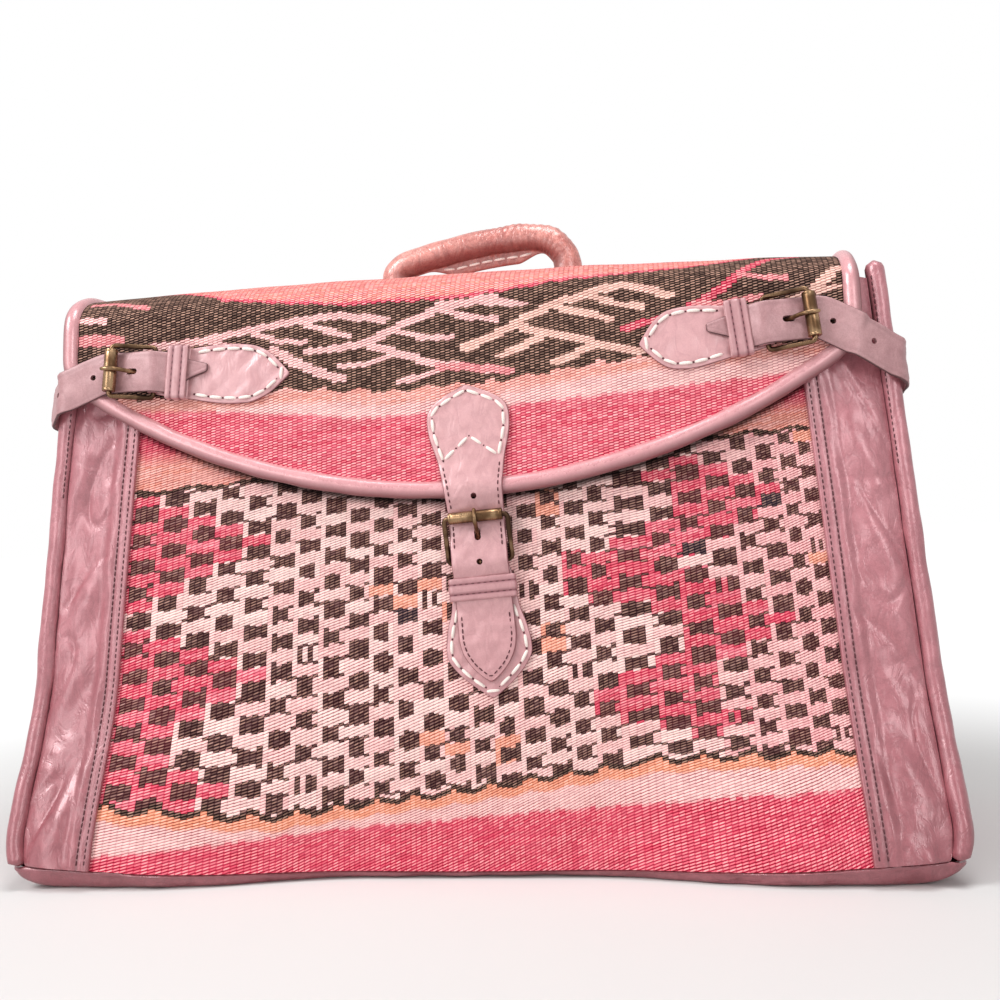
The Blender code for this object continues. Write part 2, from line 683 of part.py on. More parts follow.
def buckle_roller(name, seat, strap_half, radius, front_height, brass):
    """A tube that turns on the frame's front bar, between its corners."""
    half_length = frame_side(strap_half) - BUCKLE_CORNER - GAP
    centre = seat.rigid(-BUCKLE_LENGTH, 0, front_height)
    sides = 12
    points = []
    for w, reach in ((-1, radius), (1, radius), (1, ROLLER_BORE), (-1, ROLLER_BORE)):
        for a, n in circle(reach, sides):
            points.append(centre + seat.across * w * half_length + seat.along * a + seat.out * n)
    faces = []
    for r in range(4):
        for k in range(sides):
            here = r * sides
            there = (r + 1) % 4 * sides
            faces.append((here + k, here + (k + 1) % sides, there + (k + 1) % sides, there + k))
    set_origin(make_object(name, points, faces, [brass]), centre)


def buckle_prong(name, seat, emerge, roller, front_height, strap_middle, brass):
    """A wire tongue: an eye round the heel bar, then up through the strap's hole and over the roller."""
    ring = WIRE + EYE_GAP + EYE_RADIUS
    path = [(ring * cos(a), HEEL_HEIGHT + ring * sin(a)) for a in np.linspace(radians(165), -pi / 2, 12)]
    over = front_height + roller + RUNNING_GAP + PRONG_RADIUS
    low = HEEL_HEIGHT - ring
    path += [(-0.004, low + 0.0001), (-emerge * 0.64, low + 0.0011)]
    path += [(-emerge, strap_middle(-emerge)), (-emerge - 0.0042, over - 0.0036)]
    path += [(-BUCKLE_LENGTH + 0.0042, over - 0.0006), (-BUCKLE_LENGTH, over), (-BUCKLE_LENGTH - 0.0045, over - 0.0012)]
    points = [seat.rigid(u, 0, n) for u, n in path]
    grow = smooth((np.arange(len(path)) - 10) / 3)
    tip = np.where(np.arange(len(path)) == len(path) - 1, 0.75, 1.0)
    radii = (EYE_RADIUS + (PRONG_RADIUS - EYE_RADIUS) * grow) * tip
    profiles = circle(1.0, 6)[None] * radii[:, None, None]
    made = sweep(name, points, np.tile(seat.across, (len(path), 1)), profiles, [brass])
    set_origin(made, seat.rigid(0, 0, HEEL_HEIGHT))


def band(name, stations, out, half_widths, thickness, leather, columns=3):
    """A leather strip of even thickness along stations(k, w), the middle line k at w across."""
    share = np.linspace(-1, 1, columns)
    middle = np.array([[stations(k, s * half) for s in share] for k, half in enumerate(half_widths)])
    along = np.gradient(middle, axis=0)
    across = np.gradient(middle, axis=1)
    normal = np.cross(along, across)
    normal /= np.linalg.norm(normal, axis=-1, keepdims=True)
    normal *= np.sign(np.sum(normal[0, 0] * out))
    return slab(name, middle + normal * thickness / 2, middle - normal * thickness / 2, [leather])


def buckle_tab(name, seat, half, shape, leather):
    """A leather tab sewn flat, with a pointed end; its other end wraps the heel bar and returns on itself."""
    loop = WIRE + GAP + TAB / 2
    flat = GAP + TAB / 2
    line = [(u, flat) for u, _ in shape]
    widths = [w for _, w in shape]
    line.append((0.0035, flat))
    angles = np.linspace(-pi / 2, -1.9 * pi, 10)
    line += [(loop * cos(a), HEEL_HEIGHT + loop * sin(a)) for a in angles]
    line += [(0.0050, flat + TAB + GAP * 4), (0.0066, flat + TAB + GAP)]
    widths += [half] * (len(line) - len(widths))
    made = band(name, lambda k, w: seat.on_skin(line[k][0], w, line[k][1]), seat.out, widths, TAB, leather)
    reach = ring_reach() + GAP * 3
    drill(made, name + "_slot", seat, seat.rigid(0, 0, HEEL_HEIGHT), reach, HEEL_HEIGHT * 2)


def ring_reach():
    """Outer radius of the prong's eye."""
    return WIRE + EYE_GAP + EYE_RADIUS * 2


def keeper(name, seat, inner_half, leather):
    """A loop of leather on the tab that holds the strap's end down."""
    low = GAP + TAB + GAP
    inside = (inner_half, low + KEEPER, low + KEEPER + STRAP + KEEPER_SLACK)
    corner = KEEPER
    path = []
    for edge, height, first in ((1, 0, -pi / 2), (1, 1, 0.0), (-1, 1, pi / 2), (-1, 0, pi)):
        w = edge * (inside[0] + KEEPER / 2 - corner)
        n = inside[1 + height] + (KEEPER / 2 - corner) * (1 if height else -1)
        for angle in np.linspace(first, first + pi / 2, 3):
            path.append((w + corner * cos(angle), n + corner * sin(angle)))
    middle = np.array(path)
    step = np.roll(middle, -1, 0) - np.roll(middle, 1, 0)
    outward = np.stack([step[:, 1], -step[:, 0]], -1)
    outward /= np.linalg.norm(outward, axis=1, keepdims=True)
    rings = []
    for u, push in ((0, 1), (1, 1), (1, -1), (0, -1)):
        loop = middle + outward * KEEPER / 2 * push
        rings.append([seat.on_skin(KEEPER_START + u * KEEPER_LENGTH, w, n) for w, n in loop])
    count = len(path)
    faces = []
    for r in range(4):
        for k in range(count):
            here = r * count
            there = (r + 1) % 4 * count
            faces.append((here + k, here + (k + 1) % count, there + (k + 1) % count, there + k))
    make_object(name, np.concatenate(rings), faces, [leather])


def strap_heights(roller_under):
    """The strap's middle line, as (u, height), from the keeper over the heel bar to under the roller."""
    on_tab = GAP + TAB + GAP + STRAP / 2
    in_keeper = on_tab + KEEPER + GAP
    over_heel = HEEL_HEIGHT + ring_reach() + GAP * 1.5 + STRAP / 2
    under = roller_under + STRAP / 2
    return [
        (KEEPER_START + KEEPER_LENGTH, in_keeper),
        (KEEPER_START - 0.0006, in_keeper + GAP / 2),
        (0.0032, over_heel - 0.0006),
        (0.0, over_heel),
        (-0.0030, over_heel - 0.0004),
        (STRAP_FLAT - BUCKLE_LENGTH, under),
        (-STRAP_FLAT - BUCKLE_LENGTH, under),
    ]


def side_under():
    """Height over the flap of a side strap's underside at its roller: level with the top of the binding."""
    return BINDING_RADIUS - CLOTH / 2 + RUNNING_GAP


def strap_middle(heights, u):
    points = sorted(heights)
    return float(np.interp(u, [p[0] for p in points], [p[1] for p in points]))


def prong_hole(strap, seat, emerge, heights):
    """The hole that the prong stands in, long enough for the prong to lift."""
    centre = seat.rigid(GAP - emerge, 0, strap_middle(heights, -emerge))
    drill(strap, strap.name + "_prong_hole", seat, centre, PRONG_HOLE, STRAP * 1.5)


def round_hole(strap, number, seat, centre):
    drill(strap, f"{strap.name}_hole_{number}", seat, centre, HOLE_RADIUS, STRAP * 1.8, HOLE_RADIUS)


def strap_bends(hand):
    """What a side strap bends round: each station's centre at a height, radius, and outward angle in plan."""
    wrap = ROLL_RADIUS + RUNNING_GAP + STRAP / 2
    loose = wrap + FRONT_SLACK
    over = BINDING_RADIUS + RUNNING_GAP + STRAP / 2

    def binding(z):
        x = FLAP_SHIFT + hand * FLAP_HALF_WIDTH
        return skin(-1, x, z, flap_level(x))

    def front_roll(z):
        return roll_centre(-1, hand, z)

    def back_roll(z):
        return roll_centre(1, hand, z)

    to_roll = front_roll(STRAP_CORNER_Z) - binding(STRAP_CORNER_Z)
    lean = np.arctan2(to_roll[1], hand * to_roll[0])
    stations = [(binding, over, pi / 2 - lean * share) for share in np.linspace(0, 1, FRONT_BEND[0])]
    stations += [(front_roll, loose, angle) for angle in np.linspace(pi / 2 - lean, 0, FRONT_BEND[1] - FRONT_BEND[0])]
    return stations + [(back_roll, wrap, angle) for angle in np.linspace(0, -pi / 2, BACK_BEND)]


def side_strap(name, hand, seat, leather):
    """A strap from its sewn end behind the bag, round the side and the flap's edge, to its tip in the keeper."""
    heights = strap_heights(side_under())
    on_tab = heights[0][1] - KEEPER - GAP
    stations = strap_bends(hand)
    out = np.array([(hand * cos(angle), -sin(angle)) for _, _, angle in stations])

    def round_bends(drop):
        """The strap's middle line round the binding and the edge rolls, at the heights in drop."""
        centres = np.array([centre(z) for (centre, _, _), z in zip(stations, drop)])
        radii = np.array([radius for _, radius, _ in stations])
        return np.column_stack([centres[:, :2] + out * radii[:, None], drop])

    last_inner = seat.on_skin(heights[-1][0] - 0.003, 0, heights[-1][1])
    level_line = round_bends(np.full(len(stations), STRAP_CORNER_Z))
    travel = np.cumsum(np.hypot(*np.diff(np.concatenate([[last_inner], level_line])[:, :2], axis=0).T))
    stops = (0, *travel[[FRONT_BEND[1] - 1, FRONT_BEND[1]]])
    drop = np.interp(travel, stops, [last_inner[2], STRAP_CORNER_Z, STRAP_BACK_Z])
    outer = round_bends(drop)
    outer = np.concatenate([outer, outer[-1:] - (hand * STRAP_END, 0.0, 0.0)])
    inner = [seat.on_skin(u, 0, on_tab) for u, _ in SIDE_TIP]
    inner += [seat.on_skin(u, 0, n) for u, n in heights] + [last_inner]
    middle = np.concatenate([inner, outer])
    side_lean = (BASE_HALF_WIDTH - TOP_HALF_WIDTH) / BODY_HEIGHT
    face_lean = (BASE_HALF_DEPTH - TOP_HALF_DEPTH) / BODY_HEIGHT
    upward = side_lean * np.abs(out[:, 0]) + face_lean * np.abs(out[:, 1])
    turned = np.column_stack([out, upward])
    turned = np.concatenate([turned, turned[-1:]])
    normals = np.concatenate([np.tile(seat.out, (len(inner), 1)), turned])
    half = np.full(len(middle), SIDE_STRAP_HALF)
    half[: len(SIDE_TIP)] = [w for _, w in SIDE_TIP]
    profiles = [[(-h, -STRAP / 2), (h, -STRAP / 2), (h, STRAP / 2), (-h, STRAP / 2)] for h in half]
    made = sweep(name, middle, bent_normals(middle, normals), profiles, [leather])
    prong_hole(made, seat, SIDE_EMERGE, heights)
    length = np.concatenate([[0.0], np.cumsum(np.linalg.norm(np.diff(middle, axis=0), axis=1))])
    roller_at = np.interp(len(inner) - 2.5, np.arange(len(length)), length)
    for number in range(SIDE_HOLES):
        reach = roller_at - BUCKLE_LENGTH + SIDE_EMERGE + (number + 1) * SIDE_HOLE_PITCH
        round_hole(made, number, *spot_along(middle, normals, length, reach))


def spot_along(middle, normals, length, reach):
    """Directions and centre of a hole at a distance along a strap."""
    axes = {}
    centre = np.array([np.interp(reach, length, middle[:, k]) for k in range(3)])
    at = int(np.searchsorted(length, reach))
    axes["along"] = (middle[at] - middle[at - 1]) / (length[at] - length[at - 1])
    across = np.cross(normals[at], axes["along"])
    axes["across"] = across / np.linalg.norm(across)
    axes["out"] = np.cross(axes["along"], axes["across"])
    return SimpleNamespace(**axes), centre


def bent_normals(middle, normals):
    """Normals square to the path, on the side that normals give."""
    along = tangents(middle)
    return np.cross(along, np.cross(normals, along))


def centre_strap(seat, leather):
    """The strap sewn on the flap: over the binding, through the buckle and keeper, its tip on the tab."""
    heights = strap_heights(CENTRE_UNDER)
    on_tab = heights[0][1] - KEEPER - GAP
    over = BINDING_RADIUS + RUNNING_GAP + STRAP / 2
    binding_u = (FLAP_LOWEST - seat.z) / seat.u[1]
    binding_n = float(flap_level(seat.x)) - seat.level(seat.x)
    on_flap = binding_n + CLOTH / 2 + GAP + STRAP / 2
    line = [(u, on_tab, w) for u, w in CENTRE_TIP[:-1]]
    line += [(CENTRE_TIP[-1][0], on_tab + GAP, CENTRE_TIP[-1][1])]
    line += [(u, n, CENTRE_STRAP_HALF) for u, n in heights]
    slopes = (0.3, 0.0, -0.35)
    line += [(binding_u + over * sin(a), binding_n + over * cos(a), CENTRE_STRAP_HALF) for a in slopes]
    line += [(-u, on_flap, w) for u, w in CENTRE_HEAD]
    widths = [w for _, _, w in line]
    made = band(
        "centre_strap", lambda k, w: seat.on_skin(line[k][0], w, line[k][1]), seat.out, widths, STRAP, leather
    )
    prong_hole(made, seat, CENTRE_EMERGE, heights)
    profile = [(u, n) for u, n, _ in line]
    for number, u in enumerate(CENTRE_HOLES):
        round_hole(made, number, seat, seat.on_skin(-u, 0, strap_middle(profile, -u)))


def curve_through(points, count):
    """A smooth curve through points, by Catmull-Rom, with count points to each stretch."""
    points = np.asarray(points, float)
    padded = np.concatenate([[2 * points[0] - points[1]], points, [2 * points[-1] - points[-2]]])
    t = np.linspace(0, 1, count, endpoint=False)[:, None]
    made = []
    for a, b, c, d in zip(padded, padded[1:], padded[2:], padded[3:]):
        made.append(0.5 * (2 * b + (c - a) * t + (2 * a - 5 * b + 4 * c - d) * t**2 + (3 * b - a - 3 * c + d) * t**3))
    return np.concatenate([*made, points[-1:]])


def patch_top(x):
    return top_height(x) + CLOTH / 2 + GAP + PATCH


def handle_roll(leather):
    """A rolled handle arched over the top, its seam flange on the inner side."""
    flat = curve_through(HANDLE_PATH, 2)
    path = np.column_stack([flat[:, 0], np.zeros(len(flat)), patch_top(0.0) + GAP + flat[:, 1]])
    length = np.concatenate([[0], np.cumsum(np.linalg.norm(np.diff(path, axis=0), axis=1))])
    share = length / length[-1]
    from_foot = np.minimum(share, 1 - share)
    flange = GAP + HANDLE_FLANGE * smooth((from_foot - FLANGE_START) / (FLANGE_FULL - FLANGE_START))
    angles = np.radians(np.linspace(20, 340, 11))
    ring = np.stack([np.cos(angles), np.sin(angles)], -1) * HANDLE_RADIUS
    edge = HANDLE_RADIUS
    profiles = []
    for reach in flange:
        tail = [(edge, -FLANGE_HALF), (edge + reach, -FLANGE_HALF), (edge + reach, FLANGE_HALF), (edge, FLANGE_HALF)]
        profiles.append(np.concatenate([ring, tail]))
    sweep("handle_roll", path, np.tile([0.0, 1.0, 0.0], (len(path), 1)), profiles, [leather])


def handle_patch(name, x, leather):
    """A rounded leather patch on the top, under a foot of the handle."""
    angles = np.arange(16) * pi / 8
    a, b = PATCH_HALF
    outline_x = x + a * np.sign(np.cos(angles)) * np.abs(np.cos(angles)) ** 0.5
    outline_y = b * np.sign(np.sin(angles)) * np.abs(np.sin(angles)) ** 0.5
    top = np.column_stack([outline_x, outline_y, patch_top(outline_x)])
    points = np.concatenate([top - (0, 0, PATCH), top])
    faces = [tuple(range(15, -1, -1)), tuple(range(16, 32))]
    faces += [(k, (k + 1) % 16, (k + 1) % 16 + 16, k + 16) for k in range(16)]
    make_object(name, points, faces, [leather])


def fastening(name, seat, strap_half, roller, emerge, under, keeper_half, tab_shape, looks):
    """The tab, keeper and buckle of one strap."""
    leather, brass = looks
    bar = front_bar_height(roller, under)
    middle = strap_heights(under)
    buckle_tab("buckle_tab_" + name, seat, strap_half, tab_shape, leather)
    keeper("keeper_" + name, seat, keeper_half, leather)
    buckle_frame("buckle_frame_" + name, seat, strap_half, bar, brass)
    buckle_roller("buckle_roller_" + name, seat, strap_half, roller, bar, brass)
    buckle_prong("buckle_prong_" + name, seat, emerge, roller, bar, lambda u: strap_middle(middle, u), brass)


def on_flap(x):
    return flap_level(x) + CLOTH / 2


def on_front(x):
    return CLOTH + CHECK_RAISE + 0 * x


def main():
    clear_scene()
    kilim = [
        material("kilim_white_wool", (0.80, 0.62, 0.60), 0.9),
        material("kilim_pink_wool", (0.74, 0.07, 0.15), 0.9),
        material("kilim_dark_wool", (0.07, 0.03, 0.03), 0.9),
        material("kilim_pale_wool", (0.85, 0.50, 0.47), 0.9),
        material("kilim_peach_wool", (0.86, 0.28, 0.20), 0.9),
    ]
    rose = material("rose_leather", (0.45, 0.19, 0.20), 0.45)
    salmon = material("salmon_leather", (0.62, 0.28, 0.25), 0.5)
    mauve = material("mauve_leather", (0.36, 0.20, 0.20), 0.5)
    tab_leather = material("pale_rose_leather", (0.66, 0.34, 0.34), 0.5)
    brass = material("aged_brass", (0.22, 0.13, 0.06), 0.4, 1.0)

    base_panel(rose)
    front_kilim_panel(kilim)
    back_kilim_panel(kilim)
    for hand, label, roll_top in ((-1, "left", LEFT_ROLL_TOP), (1, "right", RIGHT_ROLL_TOP)):
        leather_strip("front_leather_strip_" + label, -1, hand, PANEL_TOP, rose)
        leather_strip("back_leather_strip_" + label, 1, hand, BACK_TRIM_TOP, rose)
        edge_roll("edge_roll_front_" + label, -1, hand, roll_top, rose)
        edge_roll("edge_roll_back_" + label, 1, hand, BACK_TRIM_TOP, rose)
        gusset("gusset_" + label, hand, rose)
    flap_kilim(kilim)
    flap_binding(salmon)

    for hand, label, heel in ((-1, "left", LEFT_HEEL), (1, "right", RIGHT_HEEL)):
        seat = Seat(heel, -hand, on_flap)
        looks = (tab_leather, brass)
        sizes = (SIDE_STRAP_HALF, SIDE_ROLLER_RADIUS, SIDE_EMERGE, side_under(), SIDE_KEEPER_HALF)
        fastening(label, seat, *sizes, SIDE_TAB, looks)
        side_strap("side_strap_" + label, hand, seat, mauve)
    seat = Seat(CENTRE_HEEL, "down", on_front)
    sizes = (CENTRE_STRAP_HALF, CENTRE_ROLLER_RADIUS, CENTRE_EMERGE, CENTRE_UNDER, CENTRE_KEEPER_HALF)
    fastening("centre", seat, *sizes, CENTRE_TAB, (tab_leather, brass))
    centre_strap(seat, tab_leather)

    handle_roll(salmon)
    handle_patch("handle_patch_left", HANDLE_PATH[0][0], salmon)
    handle_patch("handle_patch_right", HANDLE_PATH[-1][0], salmon)


main()
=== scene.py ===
# Kilim and leather travel bag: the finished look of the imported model.
from math import cos, pi, radians, sin, sqrt

import bmesh
import bpy
import numpy as np
from mathutils import Matrix, Vector


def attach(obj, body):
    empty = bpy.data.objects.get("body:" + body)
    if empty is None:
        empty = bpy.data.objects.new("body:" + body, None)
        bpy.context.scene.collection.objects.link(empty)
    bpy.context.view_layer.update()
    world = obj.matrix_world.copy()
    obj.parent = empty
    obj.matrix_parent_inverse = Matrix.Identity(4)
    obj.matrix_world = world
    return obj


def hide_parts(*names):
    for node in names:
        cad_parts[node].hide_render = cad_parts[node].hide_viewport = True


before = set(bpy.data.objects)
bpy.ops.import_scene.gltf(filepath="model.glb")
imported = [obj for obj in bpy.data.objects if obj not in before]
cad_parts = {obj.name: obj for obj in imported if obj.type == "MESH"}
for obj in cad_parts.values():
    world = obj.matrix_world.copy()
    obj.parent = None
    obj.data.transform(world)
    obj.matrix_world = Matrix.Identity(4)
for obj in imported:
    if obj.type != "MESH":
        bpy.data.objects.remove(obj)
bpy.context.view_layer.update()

seamGap = 0.0003  # room between pieces that are sewn or laid together
clothRise = 0.0007
faceNames = {-1: "front", 1: "back"}
handNames = {-1: "left", 1: "right"}


def smooth(t):
    # an eased step from 0 to 1
    t = np.clip(t, 0.0, 1.0)
    return t * t * (3.0 - 2.0 * t)


def bell(distance, width):
    # 1 at no distance, falling away smoothly over width
    return np.exp(-((distance / width) ** 2))


def rounded(t, least=0.0):
    # the height of a quarter circle, from least where t is 0 to 1 where it is 1
    return np.sqrt(np.clip(1 - (1 - np.clip(t, 0, 1)) ** 2, least, 1))


def unit(vectors):
    # vectors made 1 long
    return vectors / np.maximum(np.linalg.norm(vectors, axis=-1, keepdims=True), 1e-12)


def ripple(points, seed, size, stretch=(1, 1, 1), waves=9):
    # a smooth random height: sines about size long, running in random directions, added up
    rng = np.random.default_rng(seed)
    along = unit(rng.normal(size=(waves, 3))) / (size * rng.uniform(0.55, 1.7, (waves, 1)))
    start = rng.uniform(0, 2 * pi, waves)
    return np.sin(points @ (along / np.asarray(stretch)).T * 2 * pi + start).sum(-1) / sqrt(waves / 2)


def folds(points, seed, size, stretch=(1, 1, 1), width=0.25):
    # thin folds, 1 on a fold and 0 away from it: where a random height passes through zero
    return bell(ripple(points, seed, size, stretch), width)


bag = {  # the bag's body in metres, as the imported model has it
    "baseHalf": 0.279, "topHalf": 0.2525, "baseDepth": 0.103, "frontTopDepth": 0.0637, "backTopDepth": 0.058,
    "height": 0.345, "belly": 0.008, "borderWidth": 0.048, "rollRadius": 0.0055, "panelTop": 0.340,
    "trimTop": 0.320, "clothThickness": 0.0035, "leatherThickness": 0.0020,
    "cornerCut": 0.014, "cornerCutTop": 0.035,  # the low corners are rounded in, up to this height
    "swell": 0.024, "swellFrom": 0.06, "swellOver": 0.14, "swellTop": 0.12,  # the low corners stand out
    "seamLow": 0.004, "seamRise": 0.011,  # the seam over the tray, higher at the ends
    "gussetFull": 0.008, "gussetTuck": 0.030, "tuckFrom": 0.08, "tuckOver": 0.22,
}


def straightHalfWidth(z):
    # half the bag's width at a height, from the base's to the top's
    return bag["baseHalf"] + (bag["topHalf"] - bag["baseHalf"]) * z / bag["height"]


def halfWidth(z):
    # the same with the low corners rounded in by the square of how far below cornerCutTop they are
    return straightHalfWidth(z) - bag["cornerCut"] * np.clip(1 - z / bag["cornerCutTop"], 0, 1) ** 2


def kilimHalfWidth(z):
    # half the width of the cloth between the leather borders
    return straightHalfWidth(z) - bag["borderWidth"]


def seamHeight(x):
    # the seam's height over the floor: it rises with the square of the distance from the middle
    return bag["seamLow"] + bag["seamRise"] * (x / bag["baseHalf"]) ** 2


def faceY(side, x, z):
    # the front (side -1) or back (side 1) surface: it leans in, bellies out, and swells at the low corners
    top = bag["frontTopDepth"] if side < 0 else bag["backTopDepth"]
    lean = bag["baseDepth"] + (top - bag["baseDepth"]) * z / bag["height"]
    belly = np.cos(pi * x / 2 / bag["baseHalf"]) * np.sin(pi * np.clip(z / bag["height"], 0, 1))
    corner = smooth((np.abs(x) - bag["swellFrom"]) / bag["swellOver"])
    corner = corner * smooth(1 - z / bag["swellTop"]) * (1.0 if side < 0 else 0.5)
    return side * (lean + bag["belly"] * belly + bag["swell"] * corner)


def skin(side, x, z, n):
    # points at distance n outside the front or back surface, square to it
    x, z, n = np.broadcast_arrays(*(np.asarray(value, float) for value in (x, z, n)))
    step = 1e-4
    slopeX = (faceY(side, x + step, z) - faceY(side, x - step, z)) / (2 * step)
    slopeZ = (faceY(side, x, z + step) - faceY(side, x, z - step)) / (2 * step)
    normal = unit(np.stack([-side * slopeX, np.full_like(x, side), -side * slopeZ], -1))
    return np.stack([x, faceY(side, x, z), z], -1) + normal * n[..., None]


def edgeX(z):
    # how far out the middle of the edge roll is
    return halfWidth(z) - bag["rollRadius"]


def rollCentre(side, hand, z):
    # the middle of the edge roll at a height
    return skin(side, hand * edgeX(z), z, 0.001)


def gussetX(t, z):
    # the side panel from the front (t 0) to the back (t 1): full at the floor, tucked in at the top
    tuck = bag["gussetTuck"] * smooth((z - bag["tuckFrom"]) / bag["tuckOver"])
    return edgeX(z) + (bag["gussetFull"] - tuck) * np.sin(pi * t)


def numbered(points):
    # the number of each point in a grid of points
    return np.arange(points.shape[0] * points.shape[1]).reshape(points.shape[:2])


def quads(index, wrapRows=False, wrapColumns=False):
    # the four corners of every cell of a grid of point numbers
    if wrapRows:
        index = np.concatenate([index, index[:1]], 0)
    if wrapColumns:
        index = np.concatenate([index, index[:, :1]], 1)
    corners = np.stack([index[:-1, :-1], index[:-1, 1:], index[1:, 1:], index[1:, :-1]], -1)
    return corners.reshape(-1, 4).tolist()


def closedTube(rings):
    # the faces of rings joined one to the next, with a face over the first and the last
    index = numbered(rings)
    return quads(index, wrapColumns=True) + [index[0].tolist(), index[-1].tolist()]


def closedMesh(name, points, faces):
    # a mesh with its faces turned outwards
    mesh = bpy.data.meshes.new(name)
    mesh.from_pydata(np.asarray(points, float).reshape(-1, 3).tolist(), [], faces)
    work = bmesh.new()
    work.from_mesh(mesh)
    bmesh.ops.recalc_face_normals(work, faces=work.faces)
    work.to_mesh(mesh)
    work.free()
    return mesh


def addObject(name, data):
    # an object of this data, put in the scene
    made = bpy.data.objects.new(name, data)
    bpy.context.scene.collection.objects.link(made)
    return made


def putPiece(name, points, faces, finish, body="bag", instead=(), uv=None, colours=None, sharp=50, cut=None):
    # one closed mesh in its finish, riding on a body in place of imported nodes
    material, slot = finishes[finish]
    mesh = closedMesh(name, points, faces)
    mesh.materials.append(material)
    if uv is not None:
        corner = np.zeros(len(mesh.loops), int)
        mesh.loops.foreach_get("vertex_index", corner)
        mesh.uv_layers.new(name="weave").data.foreach_set("uv", np.asarray(uv, float)[corner].ravel())
    if colours is not None:
        rows = np.ones((len(mesh.polygons), 4))
        rows[: len(colours)] = colours
        rows[len(colours) :] = colours.mean(0)
        mesh.attributes.new("yarn", "FLOAT_COLOR", "FACE").data.foreach_set("color", rows.ravel())
    if cut is not None:
        values = np.asarray(cut, float).ravel()
        mesh.attributes.new("cut", "FLOAT", "POINT").data.foreach_set("value", values)
    mesh.shade_smooth()
    mesh.set_sharp_from_angle(angle=radians(sharp))
    piece = addObject(name, mesh)
    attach(piece, body)
    if instead:
        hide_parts(*instead)
    return piece


def slab(outer, inner, step=1):
    # a sheet with thickness from two grids of points; the inner side keeps every step-th row
    rows, columns = outer.shape[:2]
    index = numbered(outer)
    kept = [*range(0, rows - 1, step), rows - 1]
    low = rows * columns + np.arange(len(kept) * columns).reshape(-1, columns)
    faces = quads(index) + [face[::-1] for face in quads(low)]
    for edge, under in ((index[0], low[0]), (index[-1], low[-1])):
        faces += quads(np.stack([edge, under]))
    for c in (0, columns - 1):
        for k, (a, b) in enumerate(zip(kept, kept[1:])):
            faces.append([*index[a : b + 1, c].tolist(), int(low[k + 1, c]), int(low[k, c])])
    points = np.concatenate([outer.reshape(-1, 3), inner[kept].reshape(-1, 3)])
    source = np.concatenate([index.ravel(), index[kept].ravel()])
    return points, faces, source


def along(path, closed=False):
    # the direction of a path at each of its points, from the points beside it
    step = np.roll(path, -1, 0) - np.roll(path, 1, 0) if closed else np.gradient(path, axis=0)
    return unit(step)


def squareTo(grid):
    # the direction square to a grid of points, at each of them
    return unit(np.cross(np.gradient(grid, axis=0), np.gradient(grid, axis=1)))


def forEach(points, direction):
    # one direction for every point
    return np.tile(direction, (len(points), 1))


def sweep(path, out, profile, closed=False):
    # a closed profile of (across, out) pairs carried along a path
    path = np.asarray(path, float)
    ahead = along(path, closed)
    out = unit(out - ahead * np.sum(out * ahead, 1, keepdims=True))
    across = np.cross(out, ahead)
    profile = np.broadcast_to(profile, (len(path), *np.shape(profile)[-2:]))
    rings = path[:, None] + across[:, None] * profile[..., :1] + out[:, None] * profile[..., 1:]
    if closed:
        return rings, quads(numbered(rings), wrapRows=True, wrapColumns=True)
    return rings, closedTube(rings)


def circle(radius, sides):
    # points on a circle
    angles = np.arange(sides) * 2 * pi / sides
    return np.stack([np.cos(angles), np.sin(angles)], -1) * radius


def travelled(path):
    # how far along the path each of its points is
    return np.concatenate([[0], np.cumsum(np.linalg.norm(np.diff(path, axis=0), axis=1))])


def readAt(at, length, path):
    # the path's places at the given distances along it
    return np.stack([np.interp(at, length, path[:, k]) for k in range(path.shape[1])], -1)


def resample(path, spacing, closed=False):
    # the same path with even steps of about spacing
    path = np.asarray(path, float)
    if closed:
        path = np.concatenate([path, path[:1]])
    length = travelled(path)
    count = max(2, int(round(length[-1] / spacing)) + 1)
    even = readAt(np.linspace(0, length[-1], count), length, path)
    return even[:-1] if closed else even


def soften(path, times):
    # rounds a path's corners: each point but the ends moves towards the middle of its neighbours
    path = np.array(path, float)
    for _ in range(times):
        middle = (np.roll(path, 1, 0) + np.roll(path, -1, 0)) / 2
        moved = path * 0.5 + middle * 0.5
        moved[0], moved[-1] = path[0], path[-1]
        path = moved
    return path


def dented(points, path, radius, depth, seed, size):
    # the rings of a rope pushed in and out from its middle
    middle = np.asarray(path)[:, None]
    return points + (points - middle) / radius * (ripple(points, seed, size) * depth)[..., None]


def rope(path, out, radius, sides, dents, seed, size, endRound=1.0):
    # a round roll of leather along a path, with dents, its ends rounded over: the first within endRound radii
    length = travelled(path)
    scale = rounded(np.minimum(length / endRound, length[-1] - length) / radius, 0.03)
    points, faces = sweep(path, out, circle(radius, sides)[None] * scale[:, None, None])
    return dented(points, path, radius, dents, seed, size), faces


def rgb(red, green, blue):
    # a colour as the eye reads it, 0 to 255, made linear
    shares = np.array([red, green, blue]) / 255
    linear = np.where(shares < 0.04045, shares / 12.92, ((shares + 0.055) / 1.055) ** 2.4)
    return (*linear.tolist(), 1.0)


